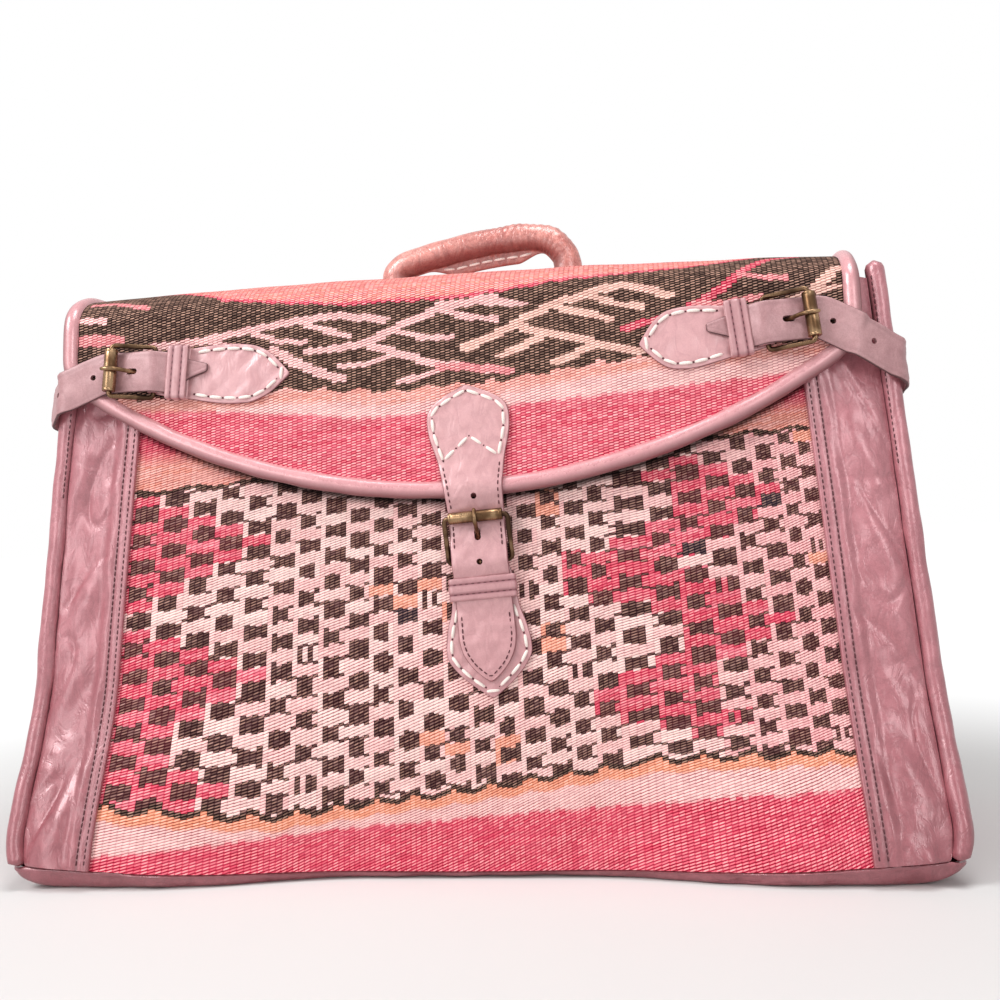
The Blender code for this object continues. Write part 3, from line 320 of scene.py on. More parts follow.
class Wire:
    # A socket in a material. Arithmetic on it adds Math nodes; node() adds any kind of shader node.
    def __init__(self, tree, socket=None):
        self.tree = tree
        self.socket = socket

    def node(self, kind, settings=None, inputs=None, output=0):
        made = self.tree.nodes.new("ShaderNode" + kind)
        for name, value in (settings or {}).items():
            setattr(made, name, value)
        for key, value in (inputs or {}).items():
            if isinstance(value, Wire):
                self.tree.links.new(value.socket, made.inputs[key])
            else:
                made.inputs[key].default_value = value
        return Wire(self.tree, made.outputs[output])

    def math(self, operation, *values):
        return self.node("Math", {"operation": operation}, dict(enumerate(values)))

    def __add__(self, other):
        return self.math("ADD", self, other)

    def __sub__(self, other):
        return self.math("SUBTRACT", self, other)

    def __rsub__(self, other):
        return self.math("SUBTRACT", other, self)

    def __mul__(self, other):
        return self.math("MULTIPLY", self, other)

    def __abs__(self):
        return self.math("ABSOLUTE", self)

    def floor(self):
        return self.math("FLOOR", self)

    def part(self, axis):
        # one number of a vector: X, Y or Z
        return self.node("SeparateXYZ", None, {0: self}, axis)

    def ramp(self, low, high, start=0.0, end=1.0):
        # an eased step from start at low to end at high
        inputs = {"Value": self, "From Min": low, "From Max": high, "To Min": start, "To Max": end}
        return self.node("MapRange", {"interpolation_type": "SMOOTHSTEP"}, inputs)

    def noise(self, scale, detail, roughness=0.55, distortion=0.0):
        inputs = {"Vector": self, "Scale": scale, "Detail": detail, "Roughness": roughness,
                  "Distortion": distortion}
        return self.node("TexNoise", None, inputs)

    def blend(self, low, high):
        # the colour low where this value is 0, high where it is 1
        return self.node("Mix", {"data_type": "RGBA"}, {0: self, 6: low, 7: high}, 2)

    def tint(self, colour):
        # this colour multiplied by another
        settings = {"data_type": "RGBA", "blend_type": "MULTIPLY"}
        return self.node("Mix", settings, {0: 1.0, 6: self, 7: colour}, 2)

    def stretch(self, factors):
        return self.node("VectorMath", {"operation": "MULTIPLY"}, {0: self, 1: factors})

    def bump(self, strength, distance):
        return self.node("Bump", None, {"Height": self, "Strength": strength, "Distance": distance})


def newMaterial(name):
    # a material, its shader, and a wire to start its nodes from
    made = bpy.data.materials.new(name)
    made.use_nodes = True
    return made, made.node_tree.nodes["Principled BSDF"], Wire(made.node_tree)


def readAttribute(start, name, output):
    # a value stored on the mesh
    return start.node("Attribute", {"attribute_name": name}, None, output)


def connect(shader, **links):
    # links or values for the shader's sockets, spaces written as underscores
    for name, value in links.items():
        socket = shader.inputs[name.replace("_", " ")]
        if isinstance(value, Wire):
            value.tree.links.new(value.socket, socket)
        else:
            socket.default_value = value


leatherLook = {  # colours in the hollows, on the heights and where cut or worn, the last also used for painted shade; dent and wrinkle in mm
    "rose": {"low": (164, 97, 105), "high": (186, 118, 126), "cut": (84, 34, 42), "slot": "rose_leather",
             "rough": 0.32, "gloss": 1.0, "metal": 0.10, "dent": 4.4, "wrinkle": 0.075},
    "strap": {"low": (164, 120, 123), "high": (186, 142, 144), "cut": (66, 36, 38), "slot": "mauve_leather",
              "rough": 0.42, "gloss": 0.5, "metal": 0.05, "dent": 0.6, "wrinkle": 0.04},
    "salmon": {"low": (208, 144, 149), "high": (218, 158, 162), "cut": (98, 38, 44), "slot": "salmon_leather",
               "rough": 0.27, "gloss": 1.0, "metal": 0.10, "dent": 0.7, "wrinkle": 0.03},
    "handle": {"low": (182, 98, 90), "high": (234, 162, 150), "cut": (92, 30, 28), "slot": "salmon_leather",
               "rough": 0.29, "gloss": 1.0, "metal": 0.05, "dent": 1.0, "wrinkle": 0.13},
    "pale": {"low": (198, 147, 150), "high": (210, 160, 162), "cut": (120, 62, 70), "rough": 0.34,
             "slot": "pale_rose_leather", "gloss": 0.8, "metal": 0.06, "dent": 2.0, "wrinkle": 0.06},
}
leatherGrain = {  # sizes of the noises: the larger, the finer
    "cloud": 16.0, "fine": 170.0, "pores": 1300.0, "dents": 30.0, "wrinkles": 110.0, "scuffs": 240.0,
}
# a pale colour for scuffs, and a tint that darkens the leather towards the floor
leatherScuffAndFloorTint = {"scuff": (236, 196, 198), "floorTint": (214, 186, 191), "floorTop": 0.20}


def leatherMaterial(name):
    # glazed sheepskin: clouded colour, soft dents, fine wrinkles and pores, pale scuffs, darker cut edges,
    # and painted shade in the wrinkle lines and where the cut value marks a lower side
    look = leatherLook[name]
    made, shader, start = newMaterial(name + "_leather_finish")
    place = start.node("TexCoord", output="Object")
    cloud = place.noise(leatherGrain["cloud"], 3.0, 0.5)
    fine = place.noise(leatherGrain["fine"], 4.0, 0.65)
    pores = place.noise(leatherGrain["pores"], 2.0, 0.6)
    dents = place.stretch((1.0, 1.0, 0.42)).noise(leatherGrain["dents"], 2.0, 0.42, 0.5)
    wrinkle = place.stretch((1.0, 1.0, 0.5)).noise(leatherGrain["wrinkles"], 3.0, 0.6, 0.8)
    wrinkle = abs(wrinkle - 0.5).ramp(0.0, 0.10, 1.0, 0.0)
    scuff = place.stretch((1.0, 1.0, 0.3)).noise(leatherGrain["scuffs"], 3.0, 0.6, 1.2).ramp(0.56, 0.76)
    scuff = scuff * cloud.ramp(0.38, 0.60)
    edge = readAttribute(start, "cut", "Fac")
    shade = (cloud * 0.35 + fine * 0.35 + pores * 0.30).ramp(0.36, 0.64)
    colour = shade.blend(rgb(*look["low"]), rgb(*look["high"]))
    # painted shade: the wrinkle lines are darkened towards the cut colour
    colour = (wrinkle * (2.0 * look["wrinkle"])).blend(colour, rgb(*look["cut"]))
    colour = (scuff * (1.8 * look["wrinkle"])).blend(colour, rgb(*leatherScuffAndFloorTint["scuff"]))
    # the cut value darkens cut edges and sewn grooves; on the handle and the flap's binding it is painted
    # shade on their lower sides
    colour = (edge * 0.85).blend(colour, rgb(*look["cut"]))
    # darker towards the floor
    aboveFloor = place.part("Z").ramp(0.0, leatherScuffAndFloorTint["floorTop"], 0.10)
    colour = aboveFloor.blend(colour.tint(rgb(*leatherScuffAndFloorTint["floorTint"])), colour)
    rough = fine * (1.4 * look["wrinkle"]) + edge * 0.2 + (look["rough"] - 0.7 * look["wrinkle"])
    height = dents * look["dent"] + (fine - wrinkle) * look["wrinkle"] + pores * 0.02
    connect(shader, Base_Color=colour, Roughness=rough, Normal=height.bump(1.0, 0.001),
            Specular_IOR_Level=look["gloss"], Metallic=look["metal"])
    return made, look["slot"]


kilimLook = {
    "slant": (0.62, 0.25), "relief": 0.0006, "rough": 0.8, "fibre": 0.22, "pick": 0.22, "linePick": 0.14,
    # gap: painted shade between the grains; dash: painted highlight along each grain's crest
    "gap": (0.30, 0.08, 0.10, 1), "dash": 0.95, "dashOnDark": (236, 186, 164), "dashOnPale": (255, 222, 214),
}


def kilimMaterial():
    # weft-faced weave on the pattern's own coordinates: slanted grains in brick order, one over each warp,
    # with painted shade in the gaps between grains and a painted highlight on each grain's crest
    made, shader, start = newMaterial("kilim_finish")
    place = start.node("UVMap", {"uv_map": "weave"})
    across = place.part("X")
    down = place.part("Y")
    warp = across.floor()
    odd = warp.math("FLOORED_MODULO", warp, 2.0)
    # the front's grains slant more than those of the sheets numbered from 1000
    slant = across.ramp(500.0, 501.0, *kilimLook["slant"])
    shifted = down + odd * 0.5 + (across - warp - 0.5) * slant
    line = shifted.floor()
    fromSide = abs(across - warp - 0.5) * 2.0
    fromMiddle = abs(shifted - line - 0.5) * 2.0
    grain = start.node("CombineXYZ", None, {0: warp, 1: line})
    pick = start.node("TexWhiteNoise", {"noise_dimensions": "2D"}, {"Vector": grain})
    linePick = start.node("TexWhiteNoise", {"noise_dimensions": "1D"}, {"W": line})
    fibre = place.stretch((2.0, 8.0, 1.0)).noise(1.0, 3.0, 0.6)
    tight = place.stretch((0.13, 0.16, 1.0)).noise(1.0, 2.0, 0.5).ramp(0.35, 0.65, 0.68, 1.0)
    yarn = readAttribute(start, "yarn", "Color")
    shine = readAttribute(start, "yarn", "Alpha")
    side = fromSide * fromSide * fromSide * fromSide
    # painted shade in the gaps between the grains
    gap = (side * 0.22 + fromMiddle * fromMiddle * fromMiddle + fibre * 0.2).ramp(0.20, 0.80) * tight
    # painted highlight: a pale dash along the crest of each grain, as strong as the yarn's alpha says
    dash = (1.0 - fromMiddle).ramp(0.30, 0.95) * (1.0 - side) * (pick * 0.8 + 0.2) * shine
    tone = pick * kilimLook["pick"] + linePick * kilimLook["linePick"] + fibre * kilimLook["fibre"]
    tone = tone + (0.86 - kilimLook["fibre"] / 2)
    grey = start.node("CombineColor", None, {0: tone, 1: tone, 2: tone})
    bright = yarn.node("RGBToBW", None, {0: yarn}).ramp(0.03, 0.12)
    dashed = dash * kilimLook["dash"]
    wool = yarn.tint(grey)
    colour = dashed.blend(wool, bright.blend(rgb(*kilimLook["dashOnDark"]), rgb(*kilimLook["dashOnPale"])))
    colour = gap.blend(colour, yarn.tint(kilimLook["gap"]))
    height = (1.0 - fromMiddle * fromMiddle * 0.7 - side * 0.6) + fibre * 0.15
    connect(shader, Base_Color=colour, Roughness=fibre * 0.1 + kilimLook["rough"],
            Normal=height.bump(0.6, kilimLook["relief"]), Specular_IOR_Level=0.1)
    return made, "kilim"


brassLook = {  # colours of the tarnish, the bare metal and the dark spots
    "bright": ((92, 68, 48), (158, 128, 98), (52, 38, 30)),
    "dark": ((68, 50, 38), (118, 92, 70), (42, 32, 26)),
}


def brassMaterial(name):
    # old brass: brown tarnish, worn brighter in broad patches, with a few dark spots
    tarnish, bare, spot = brassLook[name]
    made, shader, start = newMaterial(name + "_brass_finish")
    place = start.node("TexCoord", output="Object")
    worn = place.noise(90.0, 2.0, 0.5).ramp(0.38, 0.62)
    spots = place.noise(600.0, 2.0, 0.6)
    colour = spots.ramp(0.60, 0.80).blend(worn.blend(rgb(*tarnish), rgb(*bare)), rgb(*spot))
    connect(shader, Base_Color=colour, Roughness=0.30 - worn * 0.1 + spots * 0.12, Metallic=1.0,
            Normal=spots.bump(0.08, 0.0002))
    return made, "aged_brass"


def threadMaterial(name, tone):
    # a twisted thread: fine slanted stripes and a little fuzz
    made, shader, start = newMaterial(name)
    place = start.node("TexCoord", output="Object")
    fuzz = place.noise(1500.0, 2.0, 0.6)
    twist = start.node("TexWave", {"bands_direction": "DIAGONAL"},
                       {"Vector": place, "Scale": 420.0, "Distortion": 1.5}, "Fac")
    colour = (twist * 0.7 + fuzz * 0.3).blend(rgb(*(value * 0.93 for value in tone)), rgb(*tone))
    connect(shader, Base_Color=colour, Roughness=fuzz * 0.2 + 0.6,
            Normal=(twist + fuzz * 0.4).bump(0.3, 0.0001))
    return made, "kilim"


finishes = {name: leatherMaterial(name) for name in leatherLook}  # each a material and its slot
finishes["kilim"] = kilimMaterial()
finishes["brass"] = brassMaterial("bright")
finishes["darkBrass"] = brassMaterial("dark")
finishes["whiteThread"] = threadMaterial("white_thread_finish", (250, 236, 228))
finishes["darkThread"] = threadMaterial("dark_thread_finish", (84, 36, 44))
print("materials made")


def chance(a, b, seed):
    # an even random number from 0 to 1 for each pair of whole numbers: the end digits of a large sine
    mixed = np.sin(np.asarray(a) * 127.1 + np.asarray(b) * 311.7 + seed * 74.7) * 43758.5453
    return mixed - np.floor(mixed)


def inside(outline, x, z):
    # which points lie inside a closed outline: an odd number of its sides pass over them
    found = np.zeros(np.shape(x), bool)
    for (xa, za), (xb, zb) in zip(outline, outline[1:] + outline[:1]):
        crosses = (za > z) != (zb > z)
        found ^= crosses & (x < xa + (z - za) * (xb - xa) / (zb - za if zb != za else 1e-9))
    return found


woolDyes = {
    "white": (252, 218, 212), "palePink": (248, 194, 192), "hotPink": (224, 52, 90), "pink": (238, 138, 144),
    "rosePink": (242, 118, 138), "peach": (242, 150, 130), "orange": (247, 152, 110), "dark": (31, 16, 16),
    "cream": (242, 194, 178), "maroon": (84, 29, 41), "check": (48, 22, 30), "navy": (40, 30, 48),
}
dye = {name: np.array(rgb(*value)[:3]) for name, value in woolDyes.items()}


def between(low, high, share):
    # from the colour low, where share is 0, to high, where it is 1
    return low + (high - low) * share


def dyed(colour, where, other):
    # the colours, with another one where the mask says
    return np.where(where[..., None], other, colour)


def cellMiddle(values):
    # the middle of each cell of a grid, from its opposite corners
    return (values[:-1, :-1] + values[1:, 1:]) / 2


def putCloth(name, node, outer, inner, across, down, colours):
    # a woven sheet: its pattern's coordinates across and down, and the dye of each cell
    points, faces, source = slab(outer, inner, 8)
    uv = np.stack([across.ravel(), down.ravel()], -1)[source]
    colours = colours.reshape(-1, 4)
    return putPiece(name, points, faces, "kilim", instead=[node], uv=uv, colours=colours, sharp=60)


frontWeave = {
    "grains": 5,  # warps in a column of checks
    "lines": 10,  # weft lines from one check to the next below it
    # share of the half width, number of the column of checks
    "columns": ((-1.03, -0.6), (-0.796, 2), (-0.548, 5), (-0.331, 8), (-0.063, 12), (0.200, 16), (0.395, 19),
                (0.494, 20), (0.729, 23), (0.863, 25), (1.03, 28.2)),
    "shares": (-1, -0.5, 0, 0.5, 1),
    "rows": (-4, 0, 4, 7, 10, 12, 16),
    # height at the middle of the bag of those rows, one line for each row, at those shares
    "heights": ((0.299, 0.301, 0.304, 0.304, 0.306), (0.241, 0.243, 0.246, 0.246, 0.248),
                (0.179, 0.1845, 0.188, 0.186, 0.191), (0.130, 0.137, 0.138, 0.139, 0.144),
                (0.084, 0.079, 0.083, 0.093, 0.094), (0.053, 0.044, 0.051, 0.065, 0.065),
                (-0.009, -0.016, -0.009, 0.005, 0.005)),
    "tilt": 0.08, "tiltFade": 0.17,  # how much the weft lines rise to the right, less so higher up
    "checkHalf": 0.295, "checkSpread": 0.05,  # half a check's height in rows, and how much that varies
    "fieldBottom": ((-1, 11.35), (-0.54, 11.8), (0.02, 11.9), (0.5, 12.3), (1, 12.6)),  # share, row
    "fieldTop": 0.30,  # row
    "bottomWave": 0.30, "topWave": 0.14, "darkBelow": 0.20, "darkAbove": 0.13,  # in rows
    "paleBandFrom": 0.42, "paleBandOver": 0.16,  # rows below the field
    "pinkFrom": 0.0365, "upperPinkFrom": 0.252,  # bands of hot pink below and above these heights
    "orangeSpot": (9.0, 6.0), "navySpot": (6.0, 5.0),  # reach of the spots in mm
    "firstLine": -36, "lastLine": 130,
    "topRows": 12, "lowRows": 30,  # more rows under the flap, and down to the seam
    "flapShadow": 0.0055,  # painted shadow: the cloth is darker within this distance of the flap's edge
    "flatLength": 0.336,
}
# outlines and places on the front, x and z in mm
leftZigzag = [
    (-232, 233), (-202, 229), (-124, 197), (-211, 163), (-216, 151), (-133, 119), (-199, 81), (-155, 52),
    (-178, 44), (-238, 44),
]
rightZigzag = [
    (96, 234), (122, 237), (151, 231), (182, 219), (182, 212), (169, 210), (149, 196), (134, 188),
    (118, 180), (119, 174), (138, 169), (152, 160), (169, 151), (184, 145), (183, 139), (154, 133),
    (150, 123), (137, 114), (135, 97), (157, 93), (157, 83), (137, 84), (121, 77), (101, 82),
    (84, 90), (65, 98), (67, 104), (85, 117), (102, 121), (117, 129), (120, 150), (99, 153),
    (80, 156), (63, 160), (49, 169), (49, 176), (62, 185), (80, 194), (99, 198), (117, 206),
    (115, 223), (96, 227),
]
orangeCells = [
    (-57, 169), (-44, 160), (-26, 170), (-28, 81), (-10, 72), (45, 135), (40, 213), (199, 178), (200, 246),
    (209, 169), (18, 75), (-18, 155),
]
navyKnots = [(69, 150), (136, 198), (123, 187), (-43, 152), (174, 209)]


def weaveHeight(share, line):
    # height at the bag's middle of a weft line: straight between the knots, across and down
    rows = np.array(frontWeave["heights"]).T
    down = np.stack([np.interp(line / frontWeave["lines"], frontWeave["rows"], one) for one in rows], -1)
    across = np.stack([np.interp(share, frontWeave["shares"], one) for one in np.eye(len(rows))], -1)
    return np.sum(down * across, -1)


def onWeave(share, line):
    # x and z of a place in the pattern: the weft lines rise to the right, less so higher up
    height = weaveHeight(share, line)
    z = height
    for _ in range(4):
        x = share * kilimHalfWidth(z)
        z = height + (frontWeave["tilt"] - frontWeave["tiltFade"] * height) * x
    return x, z


def columnOf(share):
    # the number of the column of checks at a share of the half width
    places, numbers = np.array(frontWeave["columns"]).T
    return np.interp(share, places, numbers)


def shareOf(column):
    # the share of the half width where a column of checks is
    places, numbers = np.array(frontWeave["columns"]).T
    return np.interp(column, numbers, places)


def isNear(places, reach, x, z):
    # which points lie within an oval about any of the places
    found = np.zeros(np.shape(x), bool)
    for cx, cz in places:
        found |= np.hypot((x - cx) / reach[0], (z - cz) / reach[1]) < 1
    return found


def checkMask(grain, line, column, phase):
    # the grains of the dark checks: those near enough to a check's middle, with ragged ends and a few slits
    within = grain % frontWeave["grains"]
    nearest = np.round(phase)
    tall = frontWeave["checkHalf"] + frontWeave["checkSpread"] * (chance(column, nearest, 2) - 0.5)
    fromMiddle = np.abs(phase - nearest) / tall
    inCheck = fromMiddle < 1
    isDark = inCheck.copy()
    # checks are wider at their top and bottom than at the middle, and some have a pale slit
    waist = chance(column, nearest, 6)
    outer = fromMiddle > 0.35 + 0.4 * waist
    isDark &= ~((within == 0) & ~(outer & (chance(column, line, 1) < 0.25)))
    isDark &= ~((within == 4) & ~outer & (waist > 0.6))
    isDark &= ~((within == 2) & (chance(column, nearest, 7) < 0.03) & (fromMiddle < 0.8))
    end = chance(column, nearest, 10)
    isDark &= ~((fromMiddle > 0.76) & (within > 1) & (within < 4) & (end < 0.5))
    isDark &= ~((fromMiddle > 0.76) & (within != 2) & (within != 3) & (end > 0.8))
    return isDark, inCheck, nearest


def frontColours(across, down, share, height):
    # each grain's dye. across and down are the grain's place, share and height where it is on the bag
    f = frontWeave
    grain = np.floor(across)
    odd = grain % 2
    line = np.floor(down + odd / 2)
    row = (line + 0.5 - odd / 2) / f["lines"]
    column = np.floor(grain / f["grains"]) - 1
    parity = np.where(column % 2 == 0, 0.0, 0.5)
    phase = row + parity
    isDark, inCheck, nearest = checkMask(grain, line, column, phase)
    # each check, and each pale cell between two, has one place in mm
    cellRow = np.where(inCheck, nearest, np.floor(phase) + 0.5) - parity
    x, z = (value * 1000 for value in onWeave(shareOf(column), cellRow * f["lines"]))
    isPink = inside(leftZigzag, x, z) | inside(rightZigzag, x, z)
    pick = chance(column, cellRow * 2, 3)[..., None]
    lineTone = chance(column, line, 4)[..., None]
    pale = between(dye["palePink"], dye["white"], np.clip(pick * 1.2, 0, 1))
    pink = np.clip(lineTone * 1.5 - 0.55 + (pick - 0.5) * 0.5, 0, 1)
    pink = between(dye["hotPink"], dye["rosePink"], pink)
    pale = between(pale, dye["rosePink"], 0.35 * smooth((x - 110) / 60)[..., None])
    colour = dyed(pale, isPink, pink)
    orange = between(dye["palePink"], dye["orange"], 0.75)
    colour = dyed(colour, isNear(orangeCells, f["orangeSpot"], x, z) & ~isPink, orange)
    red = np.where(isPink, 0.75, 0.15)[..., None] + 0.3 * smooth((x - 120) / 80)[..., None]
    dark = between(dye["check"], dye["maroon"], np.clip(red * (0.4 + pick), 0, 1))
    # here and there a grain of a check is paler
    fleck = 0.05 * (chance(grain, line, 9) < 0.25)[..., None] * dye["palePink"]
    colour = dyed(colour, isDark, dark * (0.85 + 0.3 * lineTone) + fleck)
    colour = dyed(colour, isNear(navyKnots, f["navySpot"], x, z) & isDark, dye["navy"])

    # the bands below and above the field of checks
    wave = np.abs(np.sin(pi * (across / f["grains"] + 0.2) / 1.5))
    places, rows = np.array(f["fieldBottom"]).T
    lowEdge = np.interp(share, places, rows) + f["bottomWave"] * wave
    topEdge = f["fieldTop"] - f["topWave"] * np.abs(np.sin(pi * across / f["grains"] / 2))
    colour = dyed(colour, row > lowEdge - f["darkBelow"], dye["dark"])
    isLow = row > lowEdge
    colour = dyed(colour, isLow, between(dye["palePink"], dye["orange"], 0.9))
    paleBand = smooth((row - lowEdge - f["paleBandFrom"] + 0.15 * wave) / f["paleBandOver"])[..., None]
    colour = dyed(colour, isLow, between(colour, dye["palePink"], paleBand))
    ragged = (chance(grain, 7, 5) - 0.5) * 0.0022
    hot = smooth((f["pinkFrom"] + ragged - height) / 0.003)[..., None]
    stripes = 0.65 + 0.35 * np.sin(line * 1.9)[..., None]
    band = np.clip(0.35 * stripes + 0.3 * lineTone - 0.2, 0, 1)
    band = between(dye["hotPink"], dye["rosePink"], band)
    colour = dyed(colour, isLow, between(colour, band, hot))
    isHigh = row < topEdge
    peach = between(dye["peach"], dye["palePink"], np.clip(0.5 * lineTone, 0, 1))
    upper = smooth((height - f["upperPinkFrom"] + ragged) / 0.014)[..., None]
    colour = dyed(colour, isHigh, between(peach, band, upper))
    colour = dyed(colour, isHigh & (row > topEdge - f["darkAbove"]), dye["dark"])
    # strength of the painted highlight, a pale dash, on each grain
    shine = np.where(isDark & ~isLow, 0.6, np.where(isPink & ~isLow, 0.75, 0.7))
    return np.concatenate([colour, shine[..., None]], -1)


def frontPanel():
    # rows follow the weft lines and columns the warps, so that every grain of wool has its own faces
    f = frontWeave
    grains, topRows, lowRows = f["grains"], f["topRows"], f["lowRows"]
    first, last = (grains * (columnOf(side) + 1) for side in (-1, 1))
    across = np.concatenate([[first], np.arange(np.ceil(first + 0.3), last - 0.3), [last]])
    share = shareOf(across / grains - 1)
    share[[0, -1]] = -1, 1
    lines = np.arange(f["firstLine"], f["lastLine"] + 0.25, 0.5)
    across, down = np.meshgrid(across, lines)
    share = np.broadcast_to(share, across.shape)
    z = onWeave(share, down)[1]
    top = bag["panelTop"]
    bottom = seamHeight(share[0] * kilimHalfWidth(0.01)) + seamGap
    up = np.linspace(0, 1, topRows + 1)[:-1, None]
    low = np.linspace(0, 1, lowRows + 1)[1:, None]
    z = np.concatenate([top + (z[:1] - top) * up, z, z[-1:] + (bottom - z[-1:]) * low])
    above = down[:1] - (z[:topRows] - z[topRows]) / 0.00145
    below = down[-1:] + (z[-lowRows - 1] - z[-lowRows:]) / 0.0017
    down = np.concatenate([above, down, below])
    share = np.broadcast_to(share[:1], z.shape)
    across = np.broadcast_to(across[:1], z.shape)
    x = share * kilimHalfWidth(z)
    # each check and each pale cell is raised like a pillow, but not under the leather
    cellAcross = across / grains
    parity = np.where(np.floor(cellAcross) % 2 == 0, 0.5, 0.0)
    cellDown = down / f["lines"] * 2 + parity * 2 + 0.5
    inField = smooth((down - 3) / 4) * smooth((116 - down) / 6)
    bulge = np.abs(np.sin(pi * cellAcross)) ** 0.6 * np.abs(np.sin(pi * cellDown)) ** 0.6
    hidden = smooth((kilimHalfWidth(z) - 0.0085 - np.abs(x)) / 0.004)
    outer = skin(-1, x, z, bag["clothThickness"] - 0.0001 + clothRise * bulge * inField * hidden)
    grainAcross, grainDown, grainShare, grainZ, grainX = (cellMiddle(a) for a in (across, down, share, z, x))
    height = (grainZ - f["tilt"] * grainX) / (1 - f["tiltFade"] * grainX)
    colours = frontColours(grainAcross, grainDown, grainShare, height)
    # painted shadow of the flap's binding on the cloth below it
    fromFlap = flapLowerEdge(grainX, 0) - flapShape["binding"] - grainZ
    colours *= (1 - 0.9 * smooth(1 - np.abs(fromFlap) / f["flapShadow"]))[..., None]
    piece = putCloth("front_kilim", "front_kilim_panel", outer, skin(-1, x, z, 0.0), across, down, colours)
    kilimHalfWidth(0.0) + kilimHalfWidth(top)
    return piece


backWeave = {
    "grain": 0.0032, "line": 0.0017, "from": 0.004, "flatLength": 0.338,
    # height where each stripe ends, and its dye
    "stripes": ((0.040, "hotPink"), (0.056, "palePink"), (0.066, "orange"), (0.105, "dark"),
                (0.118, "orange"), (0.150, "palePink"), (0.196, "hotPink"), (0.212, "palePink"),
                (0.222, "orange"), (0.258, "dark"), (0.270, "peach"), (0.400, "hotPink")),
    "diamondStep": 0.030, "diamondHeight": 0.013, "diamond": 0.62, "diamondHeart": 0.30,
}


def backPanel():
    # the plain striped back: level weft lines, stripes with ragged edges and small diamonds on the dark ones
    b = backWeave
    half = kilimHalfWidth(0.0)
    share = np.linspace(-1, 1, int(2 * half / b["grain"]))[None, :]
    rows = np.arange(b["from"], bag["panelTop"], b["line"])[:, None]
    low = seamHeight(share * half) + seamGap
    z = low + (rows - b["from"]) * (bag["panelTop"] - low) / (rows[-1, 0] - b["from"])
    x = share * kilimHalfWidth(z)
    across = np.arange(share.shape[1]) + 1000 + 0 * x
    mx, mz = cellMiddle(x), cellMiddle(z)
    grain = np.floor(across[:-1, :-1])
    line = np.round(mz / b["line"])
    ragged = (chance(grain, 3, 11) - 0.5) * 0.0025
    ragged = ragged + 0.002 * ripple(np.stack([mx, 0 * mx, 0 * mx], -1), 5, 0.25)
    colour = np.zeros((*mx.shape, 3))
    bottom = -1.0
    for top, name in b["stripes"]:
        here = (mz + ragged > bottom) & (mz + ragged <= top)
        colour[here] = dye[name]
        if name == "dark":
            middle = (max(bottom, 0) + top) / 2
            fromCentre = np.abs(mz - middle) / b["diamondHeight"]
            fromCentre = fromCentre + np.abs((mx / b["diamondStep"]) % 1 - 0.5) * 2
            colour[here & (fromCentre < b["diamond"])] = dye["white"]
            colour[here & (fromCentre < b["diamondHeart"])] = dye["hotPink"]
        bottom = top
    tone = chance(grain, line, 12)[..., None] * 0.25 + chance(0 * grain, line, 13)[..., None] * 0.25
    colour = between(colour, dye["white"], tone * 0.5)
    # the alpha is the strength of the painted highlight on each grain
    colour = np.concatenate([colour, np.full((*mx.shape, 1), 0.7)], -1)
    outer, inner = skin(1, x, z, bag["clothThickness"]), skin(1, x, z, 0.0)
    piece = putCloth("back_kilim", "back_kilim_panel", outer, inner, across, -z / b["line"], colour)
    half + kilimHalfWidth(bag["panelTop"])
    return piece


flapShape = {
    "half": 0.2383, "shift": -0.0072, "arc": 0.40, "lowest": 0.2245, "corner": 0.025, "binding": 0.0050,
    "top": 0.3615, "crown": 0.005, "topHalf": 0.036, "fallStart": 0.335, "backLow": 0.3255, "backHigh": 0.343,
    "grain": 0.0030, "line": 0.00165, "firstLine": -62.0, "tilt": 0.035,
    "inset": 0.0022, "hemHeight": 0.0025,  # the cloth ends inside the binding, its last rows gathered
    "backRows": 40, "flatLength": 0.262,
}


def flapLevel(x):
    # height of the flap's middle over the front surface: more where its binding lies on the leather borders
    onKilim = bag["clothThickness"] + clothRise + seamGap + flapShape["binding"]
    return onKilim + (bag["leatherThickness"] + seamGap) * smooth((np.abs(x) - 0.03) / 0.07)


def topHeight(x):
    # the flap's top, a little lower towards its ends
    return flapShape["top"] - flapShape["crown"] * (x / bag["topHalf"]) ** 2


def flapCorner():
    # height of the wide arc's centre, and how far out and how high the centres of the tight corners are
    arc, corner = flapShape["arc"], flapShape["corner"]
    centre = flapShape["lowest"] + arc
    reach = flapShape["half"] - corner
    return centre, reach, centre - sqrt((arc - corner) ** 2 - reach**2)


def flapLowerEdge(x, inset):
    # height of the flap's curved lower edge, inset from the middle of its binding
    arc, corner = flapShape["arc"], flapShape["corner"]
    away = np.minimum(np.abs(x - flapShape["shift"]), flapShape["half"] - inset)
    centre, reach, cornerZ = flapCorner()
    turn = reach / (arc - corner) * (arc - inset)
    wide = centre - np.sqrt((arc - inset) ** 2 - np.minimum(away, turn) ** 2)
    tight = cornerZ - np.sqrt(np.clip((corner - inset) ** 2 - np.clip(away - reach, 0, None) ** 2, 0, None))
    return np.where(away <= turn, wide, tight)


